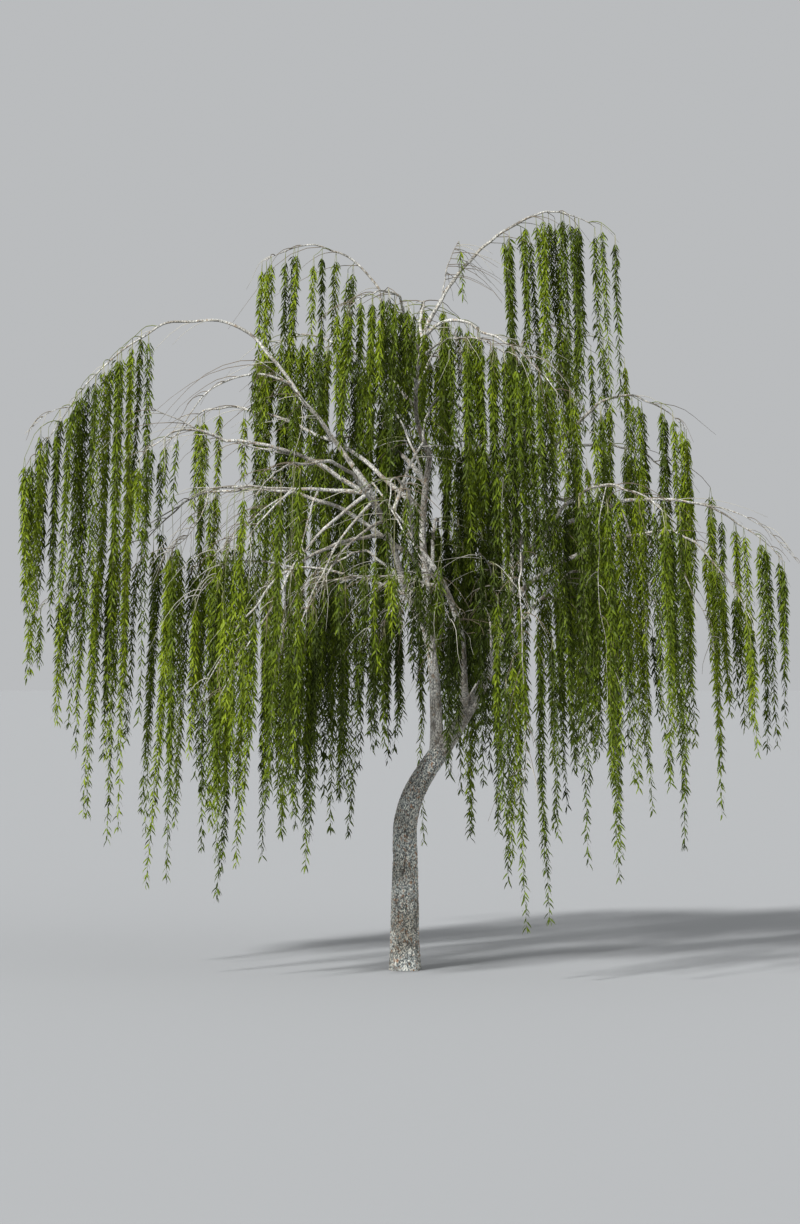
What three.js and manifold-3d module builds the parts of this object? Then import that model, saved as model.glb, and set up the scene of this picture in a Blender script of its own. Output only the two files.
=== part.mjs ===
// A weeping willow, 9 m tall and 9 m across, as an assembly of separate closed solids.
// Sizes are millimetres and +Z is up. The origin is the centre of the flat cut under the trunk,
// +X runs to the right of the tree as it is seen from the front, and -Y points to the front.
// The trunk stands straight for a man's height, then leans over to its fork. Leaders climb from
// the fork, boughs arch out of the leaders, and one weeping mass of foliage hangs from each bough.
import * as THREE from "three";
import { mergeVertices } from "three/addons/utils/BufferGeometryUtils.js";
import Module from "manifold-3d";

const wasm = await Module();
wasm.setup();

// Clearance between neighbouring solids
const GAP = 0.5;

// Corners that stand out less than this from a flat face or a straight edge are smoothed away
const FINE = 0.1;

// Trunk: radii at the ground, above the root flare and at the fork
const TRUNK = {
  straight: 1600, // height of the upright stretch
  elbow: [0, 0, 2090], // where the upright stretch would meet the leaning one
  fork: [470, 0, 2640],
  foot: 188,
  butt: 172,
  top: 106,
  flareHeight: 260,
  flutes: 5, // low ridges that run up from the root flare
  fluteDepth: 0.045, // as a share of the radius at the ground
  sides: 14,
  rings: 12,
};

// Leaders: the limb each one starts from, the share of that limb's length where it starts, its
// tip, how far its middle is bowed aside, and its radii at the root and at the tip
const LEADERS = [
  {
    name: "left_leader", from: "trunk", at: 0.95,
    tip: [295, 120, 6080], bow: [-80, 30, 0], radii: [72, 31],
  },
  {
    name: "right_leader", from: "trunk", at: 0.97,
    tip: [1200, 450, 6250], bow: [440, 60, 0], radii: [84, 33],
  },
  {
    name: "front_leader", from: "right_leader", at: 0.12,
    tip: [120, -720, 5020], bow: [240, -60, 0], radii: [50, 24],
  },
  {
    name: "west_leader", from: "left_leader", at: 0.36,
    tip: [-420, -480, 5660], bow: [-20, -40, 40], radii: [42, 26],
  },
  {
    name: "upper_leader", from: "left_leader", at: 1,
    tip: [260, -50, 7610], bow: [-150, -20, 0], radii: [30, 19],
  },
];

// Boughs, each with the mass of foliage that hangs from it. The first fields are a leader's. The
// mass has a stem that runs on from the bough's tip, climbs by `rise` and ends at `reach`. Withies
// arch out from it by up to `spread` and hang to the height `hem` or a little above it. A share of
// the stem is `bare` at its start, where open sky shows.
const BOUGHS = [
  // The top of the crown
  {
    name: "top_right", from: "upper_leader", at: 0.98,
    tip: [1350, 150, 8830], bow: [-70, 20, 130], radii: [23, 15],
    reach: [2260, 260, 8780], rise: 260, spread: 380, hem: 5600, bare: 0,
  },
  {
    name: "top_left", from: "upper_leader", at: 0.55,
    tip: [-300, -60, 8020], bow: [-80, 20, -40], radii: [22, 15],
    reach: [-1700, -120, 8330], rise: 560, spread: 380, hem: 4200, bare: 0.25,
  },
  {
    name: "top_middle", from: "upper_leader", at: 0.78,
    tip: [-60, -520, 7900], bow: [-60, -20, 60], radii: [22, 15],
    reach: [-640, -1150, 7720], rise: 160, spread: 620, hem: 5600, bare: 0,
  },
  {
    name: "top_front", from: "upper_leader", at: 0.9,
    tip: [880, -560, 7480], bow: [0, -40, 170], radii: [22, 15],
    reach: [1800, -1250, 6660], rise: 300, spread: 560, hem: 4300, bare: 0,
  },
  {
    name: "top_back", from: "upper_leader", at: 0.66,
    tip: [230, 980, 7900], bow: [0, 40, 120], radii: [22, 15],
    reach: [160, 2150, 7700], rise: 300, spread: 640, hem: 4700, bare: 0,
  },
  {
    name: "top_far_right", from: "right_leader", at: 1,
    tip: [1480, 1150, 7560], bow: [-60, -30, 60], radii: [30, 15],
    reach: [2300, 1900, 7480], rise: 320, spread: 640, hem: 4500, bare: 0,
  },
  {
    name: "top_far_left", from: "upper_leader", at: 0.36,
    tip: [-800, 900, 7420], bow: [-40, 20, 160], radii: [22, 15],
    reach: [-1750, 1650, 7380], rise: 330, spread: 640, hem: 4300, bare: 0,
  },
  // The shoulders
  {
    name: "left_shoulder", from: "west_leader", at: 1,
    tip: [-1750, -350, 7430], bow: [-70, 30, 120], radii: [31, 18],
    reach: [-4360, -450, 5950], rise: 1200, spread: 520, hem: 2250, bare: 0.42,
  },
  {
    name: "left_front", from: "west_leader", at: 0.93,
    tip: [-2080, -980, 6190], bow: [-40, -60, 190], radii: [28, 17],
    reach: [-3080, -1620, 5900], rise: 480, spread: 520, hem: 550, bare: 0.25,
  },
  {
    name: "left_middle", from: "left_leader", at: 0.62,
    tip: [-2050, 240, 5650], bow: [-60, 20, 330], radii: [30, 16],
    reach: [-3200, 520, 4900], rise: 420, spread: 520, hem: 1200, bare: 0.1,
  },
  {
    name: "left_back", from: "left_leader", at: 0.8,
    tip: [-1850, 1350, 6650], bow: [-60, 40, 260], radii: [30, 16],
    reach: [-3050, 2250, 6150], rise: 480, spread: 560, hem: 1300, bare: 0.05,
  },
  {
    name: "right_shoulder", from: "right_leader", at: 0.9,
    tip: [2300, 250, 6700], bow: [-40, -40, -90], radii: [31, 16],
    reach: [3350, 320, 6380], rise: 320, spread: 420, hem: 2600, bare: 0,
  },
  {
    name: "right_back", from: "right_leader", at: 0.82,
    tip: [2350, 1500, 6250], bow: [40, 60, 200], radii: [31, 16],
    reach: [3500, 2350, 5750], rise: 300, spread: 640, hem: 1500, bare: 0.05,
  },
  {
    name: "right_front", from: "right_leader", at: 0.55,
    tip: [2150, -1150, 5650], bow: [60, -60, 260], radii: [31, 16],
    reach: [3000, -2250, 5250], rise: 260, spread: 600, hem: 950, bare: 0.05,
  },
  {
    name: "front", from: "front_leader", at: 1,
    tip: [-60, -1650, 5700], bow: [20, -60, 120], radii: [29, 15],
    reach: [-180, -2950, 5350], rise: 260, spread: 560, hem: 2900, bare: 0.15,
  },
  {
    name: "front_left", from: "west_leader", at: 0.85,
    tip: [-1080, -1550, 5900], bow: [0, -40, 230], radii: [28, 15],
    reach: [-1650, -2950, 5500], rise: 260, spread: 600, hem: 700, bare: 0.1,
  },
  {
    name: "back", from: "right_leader", at: 0.74,
    tip: [800, 1900, 6350], bow: [0, 60, 230], radii: [31, 15],
    reach: [850, 3150, 5950], rise: 300, spread: 660, hem: 1300, bare: 0.05,
  },
  {
    name: "back_left", from: "left_leader", at: 0.9,
    tip: [-750, 1950, 6350], bow: [-20, 60, 230], radii: [30, 15],
    reach: [-1450, 3250, 5900], rise: 300, spread: 660, hem: 1300, bare: 0.05,
  },
  {
    name: "back_right", from: "right_leader", at: 0.66,
    tip: [1950, 2150, 5600], bow: [40, 60, 260], radii: [30, 15],
    reach: [2450, 3300, 5000], rise: 240, spread: 600, hem: 1200, bare: 0.1,
  },
  // The low outer skirts
  {
    name: "far_right", from: "right_leader", at: 0.6,
    tip: [3150, -150, 5540], bow: [-60, -80, 260], radii: [34, 16],
    reach: [4460, -240, 4800], rise: 260, spread: 260, hem: 2700, bare: 0.3,
  },
  {
    name: "low_right", from: "right_leader", at: 0.5,
    tip: [3080, -820, 5160], bow: [-40, -40, 220], radii: [31, 15],
    reach: [3980, -1250, 4100], rise: 260, spread: 420, hem: 1300, bare: 0,
  },
  {
    name: "low_left", from: "west_leader", at: 0.7,
    tip: [-1480, -1250, 4600], bow: [40, -40, 160], radii: [26, 15],
    reach: [-2300, -1850, 3300], rise: 60, spread: 500, hem: 550, bare: 0.2,
  },
  {
    name: "front_right", from: "right_leader", at: 0.4,
    tip: [1330, -1150, 4900], bow: [60, -60, 200], radii: [26, 15],
    reach: [1330, -2100, 3500], rise: 120, spread: 520, hem: 500, bare: 0.35,
  },
  // The inner skirts, under the crown and behind the trunk
  {
    name: "inner_left", from: "left_leader", at: 0.46,
    tip: [-450, 560, 4950], bow: [-40, 40, 120], radii: [26, 15],
    reach: [-1100, 950, 4500], rise: 160, spread: 560, hem: 1500, bare: 0,
  },
  {
    name: "inner_right", from: "right_leader", at: 0.34,
    tip: [1980, 520, 4700], bow: [0, 20, 60], radii: [28, 15],
    reach: [2700, 900, 4200], rise: 180, spread: 560, hem: 1800, bare: 0,
  },
  {
    name: "inner_back", from: "left_leader", at: 0.56,
    tip: [380, 1120, 5350], bow: [20, 40, 100], radii: [26, 15],
    reach: [420, 2050, 4900], rise: 180, spread: 620, hem: 2300, bare: 0,
  },
];

const LEADER = { sides: 7, rings: 6 };
const BOUGH = { sides: 5, rings: 4 };
const SWAY = 0.016; // how far a limb's S-bend strays, as a share of the limb's length
const COLLAR = { swell: 0.25, length: 0.07 }; // widening at a limb's root, as shares

// The stem of a mass is three-sided and starts a little thinner than the tip of its bough
const STEM = { rings: 4, tip: 11, fit: 0.92 };

// Withies: three-sided twigs that hang from the stem
const WITHY = {
  aside: 4, // arch over to the left and right of the stem by turns
  below: 3, // hang straight below it
  asideAt: 0.45, // where in its own stretch of the stem a withy starts, so that no two meet
  belowAt: 0.95,
  root: 6,
  tip: 4,
  angle: 0.95, // between the stem and a withy that arches aside, in radians and in plan
  shoulder: 0.85, // share of the spread where an arching withy turns down
  lean: 0.06, // outward swing, as a share of the length
  long: 2500, // a longer one has a bend in its middle
  ragged: 1300, // how far a withy may end above the hem
  shorten: 0.8, // by how much a withy with something in its way is cut at a time
  shortest: 700,
};

// Leaves: each stands for one leafy spray of a withy
const LEAF = {
  length: 760,
  width: 165,
  thick: 10,
  widest: 0.42, // share of the length where it is widest
  splay: 0.24, // sideways for each unit down the withy
  pitch: 1000, // from one leaf's root to the next along the withy
  first: 0.1, // where the first root lies, as a share of the pitch
};
const THIRD = (2 * Math.PI) / 3; // each leaf stands on the next side of its three-sided twig

const CLEAR = 3; // free space kept round every twig and leaf
const LOWEST = 60; // height that every leaf tip stays above

// The hem of the crown rises outwards, by `slope`, from the distance `from` off the axis at `x`
const SKIRT = { x: 200, from: 2750, height: 550, slope: 1.9 };

const UP = new THREE.Vector3(0, 0, 1);

// A repeatable chance from 0 to 1 for three whole numbers
function chance(a, b, c) {
  const wave = Math.sin(a * 12.9898 + b * 78.233 + c * 37.719) * 43758.5453;
  return wave - Math.floor(wave);
}

// Points of an arc from start to end whose middle is moved aside by bow, with a slight S-bend
function arc(start, end, bow, rings) {
  const span = end.clone().sub(start);
  const aside = span.clone().cross(UP).normalize().multiplyScalar(SWAY * span.length());
  return Array.from({ length: rings + 1 }, (_, i) => {
    const t = i / rings;
    return start
      .clone()
      .addScaledVector(span, t)
      .addScaledVector(bow, 4 * t * (1 - t))
      .addScaledVector(aside, Math.sin(2 * Math.PI * t));
  });
}

// The point and the direction at a share of a path's length, on the straight runs between points
function along(path, share) {
  const lengths = path.slice(1).map((p, i) => p.distanceTo(path[i]));
  let left = share * lengths.reduce((sum, l) => sum + l, 0);
  let i = 0;
  while (i < lengths.length - 1 && left > lengths[i]) {
    left -= lengths[i];
    i += 1;
  }
  const direction = path[i + 1].clone().sub(path[i]).normalize();
  return { point: path[i].clone().addScaledVector(direction, left), direction, run: i };
}

// The direction, a normal and a second normal at each point of a path. Where a path starts level,
// its second normal points up, and where it starts steep the normals are turned by `twist`.
function framesOf(path, twist = 0) {
  const last = path.length - 1;
  const tangents = path.map((_, i) =>
    path[Math.min(i + 1, last)].clone().sub(path[Math.max(i - 1, 0)]).normalize(),
  );
  const steep = Math.abs(tangents[0].z) > 0.9;
  const turned = new THREE.Vector3(Math.cos(twist), Math.sin(twist), 0);
  let normal = steep ? turned : tangents[0].clone().cross(UP);
  return tangents.map((tangent) => {
    normal = normal.clone().addScaledVector(tangent, -normal.dot(tangent)).normalize();
    return { tangent, normal, across: normal.clone().cross(tangent) };
  });
}

// A closed tube: a cylinder whose rings are carried onto the points of a path. radiusAt gives the
// radius for a share of the path and an angle.
function tube(path, radiusAt, sides, twist) {
  const steps = path.length - 1;
  const geometry = new THREE.CylinderGeometry(1, 1, 1, sides, steps);
  const frames = framesOf(path, twist);
  const position = geometry.attributes.position;
  for (let i = 0; i < position.count; i += 1) {
    const share = position.getY(i) + 0.5;
    const ring = Math.round(share * steps);
    const angle = Math.atan2(position.getX(i), position.getZ(i));
    const onAxis = Math.hypot(position.getX(i), position.getZ(i)) < 1e-6;
    const radius = onAxis ? 0 : radiusAt(share, angle);
    const moved = path[ring]
      .clone()
      .addScaledVector(frames[ring].normal, radius * Math.sin(angle))
      .addScaledVector(frames[ring].across, radius * Math.cos(angle));
    position.setXYZ(i, moved.x, moved.y, moved.z);
  }
  return geometry;
}

// A path pushed out by the clearance at both of its ends
function lengthened(path) {
  const last = path.length - 1;
  const first = path[0].clone().sub(path[1]).normalize();
  const end = path[last].clone().sub(path[last - 1]).normalize();
  return path.map((p, i) => {
    if (i === 0) return p.clone().addScaledVector(first, GAP);
    return i === last ? p.clone().addScaledVector(end, GAP) : p;
  });
}

// A leaf: a flattened octahedron of eight faces, widest a little nearer its root than its tip
function leafGeometry(root, direction, flat) {
  const geometry = new THREE.OctahedronGeometry(1);
  const across = direction.clone().cross(flat).normalize();
  const face = direction.clone().cross(across);
  const position = geometry.attributes.position;
  for (let i = 0; i < position.count; i += 1) {
    const x = position.getX(i);
    const share = Math.abs(x) < 0.5 ? LEAF.widest : (x + 1) / 2;
    const moved = root
      .clone()
      .addScaledVector(direction, share * LEAF.length)
      .addScaledVector(across, (position.getY(i) * LEAF.width) / 2)
      .addScaledVector(face, (position.getZ(i) * LEAF.thick) / 2);
    position.setXYZ(i, moved.x, moved.y, moved.z);
  }
  return geometry;
}

// A closed geometry as a solid that can be joined and cut
function solid(geometry) {
  geometry.deleteAttribute("normal");
  geometry.deleteAttribute("uv");
  const merged = mergeVertices(geometry, 1e-3);
  const mesh = new wasm.Mesh({
    numProp: 3,
    vertProperties: merged.attributes.position.array,
    triVerts: new Uint32Array(merged.index.array),
  });
  return new wasm.Manifold(mesh);
}

// The largest body of a solid, which drops any scrap that a cut has left loose
function largest(made) {
  return made.decompose().reduce((best, body) => (body.volume() > best.volume() ? body : best));
}

// A mesh whose own frame has its origin at the given point
function meshOf(name, made, origin, material) {
  const { vertProperties, triVerts } = made.getMesh();
  const geometry = new THREE.BufferGeometry();
  geometry.setAttribute("position", new THREE.BufferAttribute(new Float32Array(vertProperties), 3));
  geometry.setIndex(new THREE.BufferAttribute(new Uint32Array(triVerts), 1));
  geometry.translate(-origin.x, -origin.y, -origin.z);
  geometry.computeVertexNormals();
  const mesh = new THREE.Mesh(geometry, material);
  mesh.name = name;
  mesh.position.copy(origin);
  return mesh;
}

// The shortest distance between the segments a-b and c-d
function segmentGap(a, b, c, d) {
  const u = b.clone().sub(a);
  const w = d.clone().sub(c);
  const r = a.clone().sub(c);
  const uu = u.dot(u);
  const ww = w.dot(w);
  const uw = u.dot(w);
  const clamp = THREE.MathUtils.clamp;
  const spread = uu * ww - uw * uw;
  let s = spread > 1e-9 ? clamp((uw * w.dot(r) - ww * u.dot(r)) / spread, 0, 1) : 0;
  const t = clamp((uw * s + w.dot(r)) / ww, 0, 1);
  s = clamp((uw * t - u.dot(r)) / uu, 0, 1);
  return r.clone().addScaledVector(u, s).addScaledVector(w, -t).length();
}

// Every twig, leaf and limb laid so far, as round-ended rods that others keep clear of
const laid = [];

function isClear(a, b, radius, ownPart) {
  return laid.every(
    (rod) => rod.part === ownPart || segmentGap(a, b, rod.a, rod.b) > radius + rod.radius + CLEAR,
  );
}

function lay(part, path, radius) {
  for (let i = 1; i < path.length; i += 1) laid.push({ part, a: path[i - 1], b: path[i], radius });
}

const trunkBark = new THREE.MeshStandardMaterial({ color: 0x8f8b82, roughness: 0.9, metalness: 0 });
const limbBark = new THREE.MeshStandardMaterial({ color: 0xa3a097, roughness: 0.85, metalness: 0 });
const leafGreen = new THREE.MeshStandardMaterial({ color: 0x5c7a17, roughness: 0.6, metalness: 0 });

// The trunk's path: upright, then a smooth lean to the fork
function trunkPath() {
  const bend = new THREE.Vector3(0, 0, TRUNK.straight);
  const route = new THREE.CurvePath();
  route.add(new THREE.LineCurve3(new THREE.Vector3(), bend));
  route.add(
    new THREE.QuadraticBezierCurve3(
      bend,
      new THREE.Vector3(...TRUNK.elbow),
      new THREE.Vector3(...TRUNK.fork),
    ),
  );
  return route.getSpacedPoints(TRUNK.rings);
}

// The trunk's radius: an even taper, wider in the root flare, with low ridges near the ground
function trunkRadius(share, angle, length) {
  const height = share * length;
  const flare = (TRUNK.foot - TRUNK.butt) * Math.exp(-height / TRUNK.flareHeight);
  const flute = TRUNK.fluteDepth * Math.exp(-height / (2 * TRUNK.flareHeight));
  const even = THREE.MathUtils.lerp(TRUNK.butt, TRUNK.top, share);
  return (even + flare) * (1 + flute * Math.sin(TRUNK.flutes * angle));
}

// A limb tapers evenly, and widens over its first stretch into a collar
function limbRadius([root, tip], share) {
  const collar = COLLAR.swell * Math.exp(-share / COLLAR.length);
  return THREE.MathUtils.lerp(root, tip, share) * (1 + collar);
}

const limbs = new Map();

function addTrunk() {
  const path = trunkPath();
  const length = path.slice(1).reduce((sum, p, i) => sum + p.distanceTo(path[i]), 0);
  const shape = (share, angle) => trunkRadius(share, angle, length);
  limbs.set("trunk", {
    path,
    root: new THREE.Vector3(),
    body: solid(tube(path, shape, TRUNK.sides)),
    grown: solid(tube(lengthened(path), (share, angle) => shape(share, angle) + GAP, TRUNK.sides)),
  });
  lay("trunk", path, TRUNK.foot);
}

// A limb's root is sunk in its parent and then cut clear of every limb that it meets
function addLimb(name, row, { sides, rings }) {
  const { point, direction } = along(limbs.get(row.from).path, row.at);
  const tip = new THREE.Vector3(...row.tip);
  const start = row.at === 1 ? point.addScaledVector(direction, -GAP) : point;
  const path = arc(start, tip, new THREE.Vector3(...row.bow), rings);
  const shape = (share) => limbRadius(row.radii, share);
  let body = solid(tube(path, shape, sides));
  for (const other of limbs.values()) {
    if (body.intersect(other.grown).volume() > 0) body = largest(body.subtract(other.grown));
  }
  limbs.set(name, {
    path,
    root: start,
    body: body.simplify(FINE),
    grown: solid(tube(lengthened(path), (share) => shape(share) + GAP, sides)),
  });
  lay(name, path, row.radii[0]);
}

function boughName(row) {
  return `bough_${row.name}`;
}

function massName(row) {
  return `foliage_${row.name}`;
}

// The stem of a mass runs on from its bough's tip and arches over to its own end
function stemPath(row) {
  const bough = limbs.get(boughName(row)).path;
  const { direction } = along(bough, 1);
  const root = bough[bough.length - 1].clone().addScaledVector(direction, -4 * GAP);
  const end = new THREE.Vector3(...row.reach);
  const control = root.clone().lerp(end, 0.4).addScaledVector(direction, 0.1 * root.distanceTo(end));
  control.z += row.rise;
  return new THREE.QuadraticBezierCurve3(root, control, end).getPoints(STEM.rings);
}

// A withy's path: out from the stem by `spread`, over and down, swinging a little outwards
function withyPath(start, heading, spread, length) {
  const point = (out, down) => start.clone().addScaledVector(heading, out).addScaledVector(UP, -down);
  const lean = WITHY.lean * length;
  const end = point(spread + lean, length);
  const hanging = length > WITHY.long ? [point(spread + 0.7 * lean, 0.5 * length), end] : [end];
  return spread > 0 ? [start, point(WITHY.shoulder * spread, 0.1 * spread), ...hanging] : [start, ...hanging];
}

// Leaves stand on a withy like steps on a spiral stair, and those that lack room are left out
function leavesOn(part, withyLine, first, twist) {
  const frames = framesOf(withyLine, twist).slice(first);
  const path = withyLine.slice(first);
  const length = path.slice(1).reduce((sum, p, i) => sum + p.distanceTo(path[i]), 0);
  const count = Math.max(2, Math.round(length / LEAF.pitch));
  const made = [];
  for (let i = 0; i < count; i += 1) {
    const { point, direction, run } = along(path, (i + LEAF.first) / count);
    const angle = THIRD * (i + 0.5);
    const side = frames[run].normal
      .clone()
      .multiplyScalar(Math.sin(angle))
      .addScaledVector(frames[run].across, Math.cos(angle));
    const heading = direction.clone().addScaledVector(side, LEAF.splay).normalize();
    const tip = point.clone().addScaledVector(heading, LEAF.length);
    if (tip.z > LOWEST && isClear(point, tip, LEAF.width / 2, part)) {
      made.push(solid(leafGeometry(point, heading, side)));
      lay(part, [point, tip], LEAF.width / 2);
    }
  }
  return made;
}

// How low foliage may hang at a point of the plan
function skirt(point) {
  const out = Math.hypot(point.x - SKIRT.x, point.y);
  return SKIRT.height + SKIRT.slope * Math.max(0, out - SKIRT.from);
}

// One withy with its leaves. It hangs to the hem or, where a limb or other foliage is in its way,
// is cut shorter by stages until it hangs free.
function withy(row, frame, start, heading, spread, index, seed) {
  const hem = Math.max(row.hem, skirt(start.clone().addScaledVector(heading, spread)));
  const full = start.z - hem - WITHY.ragged * chance(seed, index, 4) ** 2;
  for (let length = full; length >= WITHY.shortest; length *= WITHY.shorten) {
    const path = withyPath(start, heading, spread, length);
    const free = path.slice(1).every((p, i) => isClear(path[i], p, WITHY.root, frame));
    if (free) {
      const part = `${frame} withy ${index}`;
      lay(part, path, WITHY.root);
      const twist = 2 * Math.PI * chance(seed, index, 3);
      const radius = (share) => THREE.MathUtils.lerp(WITHY.root, WITHY.tip, share);
      const first = spread > 0 ? 1 : 0;
      return [solid(tube(path, radius, 3, twist)), ...leavesOn(part, path, first, twist)];
    }
  }
  return [];
}

// A mass of foliage: its stem, its withies and their leaves fused into one solid. Some withies
// arch over to the left and right of the stem by turns, and the others hang straight below it.
function massOf(row, seed) {
  const frame = massName(row);
  const stem = stemPath(row);
  const root = row.radii[1] * STEM.fit;
  const { point: tip, direction: onward } = along(limbs.get(boughName(row)).path, 1);
  const whole = solid(tube(stem, (share) => THREE.MathUtils.lerp(root, STEM.tip, share), 3));
  const stemSolid = whole.trimByPlane(onward.toArray(), tip.dot(onward) + GAP);
  const aside = Array.from({ length: WITHY.aside }, (_, i) => {
    const turn = (i % 2 ? 1 : -1) * WITHY.angle * (0.8 + 0.4 * chance(seed, i, 1));
    const spread = row.spread * (0.75 + 0.35 * chance(seed, i, 2));
    return { share: (i + WITHY.asideAt) / WITHY.aside, turn, spread };
  });
  const below = Array.from({ length: WITHY.below }, (_, i) => {
    return { share: (i + WITHY.belowAt) / WITHY.below, turn: 0, spread: 0 };
  });
  const hung = [...aside, ...below].flatMap(({ share, turn, spread }, index) => {
    const { point, direction } = along(stem, row.bare + (1 - row.bare) * share);
    const heading = new THREE.Vector3(direction.x, direction.y, 0).normalize().applyAxisAngle(UP, turn);
    return withy(row, frame, point, heading, spread, index, seed);
  });
  const fused = wasm.Manifold.union([stemSolid, ...hung]);
  return fused.simplify(FINE);
}

addTrunk();
LEADERS.forEach((row) => addLimb(row.name, row, LEADER));
BOUGHS.forEach((row) => addLimb(boughName(row), row, BOUGH));
BOUGHS.forEach((row) => lay(massName(row), stemPath(row), row.radii[1]));

const wood = new THREE.Group();
for (const [name, limb] of limbs) {
  wood.add(meshOf(name, limb.body, limb.root, name === "trunk" ? trunkBark : limbBark));
}

const leafage = new THREE.Group();
BOUGHS.forEach((row, seed) => {
  const origin = new THREE.Vector3(...row.tip);
  leafage.add(meshOf(massName(row), massOf(row, seed + 1), origin, leafGreen));
});

const willow = new THREE.Group();
willow.add(wood, leafage);
export default willow;
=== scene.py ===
import bpy
import numpy as np
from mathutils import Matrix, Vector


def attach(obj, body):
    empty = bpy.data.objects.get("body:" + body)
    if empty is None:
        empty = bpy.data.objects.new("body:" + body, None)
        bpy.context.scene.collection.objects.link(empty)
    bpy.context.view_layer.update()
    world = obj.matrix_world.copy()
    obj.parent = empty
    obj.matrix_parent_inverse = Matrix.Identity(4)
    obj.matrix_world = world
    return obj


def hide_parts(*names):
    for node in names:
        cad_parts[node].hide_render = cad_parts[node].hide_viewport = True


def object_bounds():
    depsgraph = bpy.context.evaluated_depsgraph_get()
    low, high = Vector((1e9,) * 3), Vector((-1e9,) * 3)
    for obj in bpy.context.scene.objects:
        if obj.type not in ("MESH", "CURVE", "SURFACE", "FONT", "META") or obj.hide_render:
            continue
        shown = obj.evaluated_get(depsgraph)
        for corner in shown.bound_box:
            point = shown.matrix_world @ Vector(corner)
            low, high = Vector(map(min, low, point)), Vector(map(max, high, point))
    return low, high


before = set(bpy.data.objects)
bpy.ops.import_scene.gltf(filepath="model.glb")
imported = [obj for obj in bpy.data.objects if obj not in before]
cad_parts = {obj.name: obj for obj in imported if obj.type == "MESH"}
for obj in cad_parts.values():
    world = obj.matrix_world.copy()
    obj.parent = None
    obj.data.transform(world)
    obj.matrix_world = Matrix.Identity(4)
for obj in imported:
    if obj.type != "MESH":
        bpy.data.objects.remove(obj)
cad_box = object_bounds()

# Trunk
# One stem of old wood, upright for a man's height and then leaning over to its fork. Its grey bark
# has split into long ridges that part and meet again, over a slight root flare with low flutes.
UP = np.array([0.0, 0.0, 1.0])
TRUNK_BEND = np.array([0.0, 0.0, 1.6])  # top of the upright stretch
TRUNK_ELBOW = np.array([0.0, 0.0, 2.09])  # where it would meet the leaning one
TRUNK_FORK = np.array([0.47, 0.0, 2.64])
TRUNK_BUTT = 0.172  # radius above the root flare
TRUNK_TOP = 0.106  # radius at the fork
ROOT_FLARE = 0.016  # how much the flare adds to the radius at the ground
FLARE_HEIGHT = 0.26
FLUTES = 5
FLUTE_DEPTH = 0.045  # as a share of the radius at the ground
CROWN_LENGTH = 0.09  # stretch under the fork over which the trunk's top is rounded off
CROWN_CLOSING = 0.97  # how far it closes there, where 1 would be to a point
UPRIGHT_POINTS = 40
LEANING_POINTS = 60
TRUNK_RINGS = 480
TRUNK_SIDES = 160
CRACK_DEPTH = 0.011  # deepest cracks of the trunk's bark
RIDGE_HEIGHT = 0.007  # of the ridges between them
# columns of cracks round the trunk, their pitch up it in metres, and how wide they open
WIDE_CRACKS = (22, 0.19, 0.10)
FINE_CRACKS = (46, 0.055, 0.20)
FINE_SHARE = 0.6  # depth of the fine cracks beside the wide ones
END_CRACKS = (0, 0)  # their depth at the two middle points of a limb's ends
CRACK_SHIFT = 0.6  # how far a crack strays sideways, as a share of a column
SHIFT_PITCH = 0.7  # over which length it does, as a share of the cracks' pitch
LUMP_HEIGHT = 0.006
LUMPS = (6, 0.4)  # columns round the trunk and pitch up it
CHIP_HEIGHT = 0.003
CHIPS = (76, 0.018)
SEED = 7


def unit(vectors):
    """Each vector divided by its own length."""
    return vectors / np.linalg.norm(vectors, axis=-1, keepdims=True)


def run_of(path):
    """The length along a broken line from its start to each of its points."""
    steps = np.linalg.norm(np.diff(path, axis=0), axis=1)
    return np.concatenate([[0.0], np.cumsum(steps)])


def along(path, share):
    """The points at the given shares of a broken line's length."""
    run = run_of(path)
    at = np.asarray(share) * run[-1]
    return np.stack([np.interp(at, run, path[:, axis]) for axis in range(3)], axis=-1)


def bezier(start, control, end, count):
    """Points of a quadratic curve: (1-t)^2 start + 2t(1-t) control + t^2 end."""
    t = np.linspace(0, 1, count)[:, None]
    return (1 - t) ** 2 * start + 2 * t * (1 - t) * control + t**2 * end


def sweep(path, radius, side):
    """The grid of points of a tube. Each ring lies square to the path, with its first column
    towards `side`, and point = centre + radius * (cos(angle) * normal + sin(angle) * across)."""
    tangent = unit(np.gradient(path, axis=-2))
    side = side[..., None, :]
    normal = unit(side - (side * tangent).sum(-1, keepdims=True) * tangent)
    across = np.cross(tangent, normal)
    angle = 2 * np.pi * np.arange(radius.shape[-1])[:, None] / radius.shape[-1]
    outward = np.cos(angle) * normal[..., None, :] + np.sin(angle) * across[..., None, :]
    return path[..., None, :] + radius[..., None] * outward


def tube_faces(rings, sides):
    """The triangles of a closed tube: two for each cell between its rings, and a fan round the
    middle point of each end. The two middle points come after the points of the rings."""
    ring, column = np.meshgrid(np.arange(rings - 1), np.arange(sides), indexing="ij")
    a = ring * sides + column
    b = ring * sides + (column + 1) % sides
    walls = np.stack([a, b, b + sides, a, b + sides, a + sides], axis=-1).reshape(-1, 3)
    here = np.arange(sides)
    beside = (here + 1) % sides
    middle = np.full(sides, rings * sides)
    last = (rings - 1) * sides
    foot = np.stack([middle, beside, here], axis=1)
    head = np.stack([middle + 1, last + here, last + beside], axis=1)
    return np.concatenate([walls, foot, head])


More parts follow.
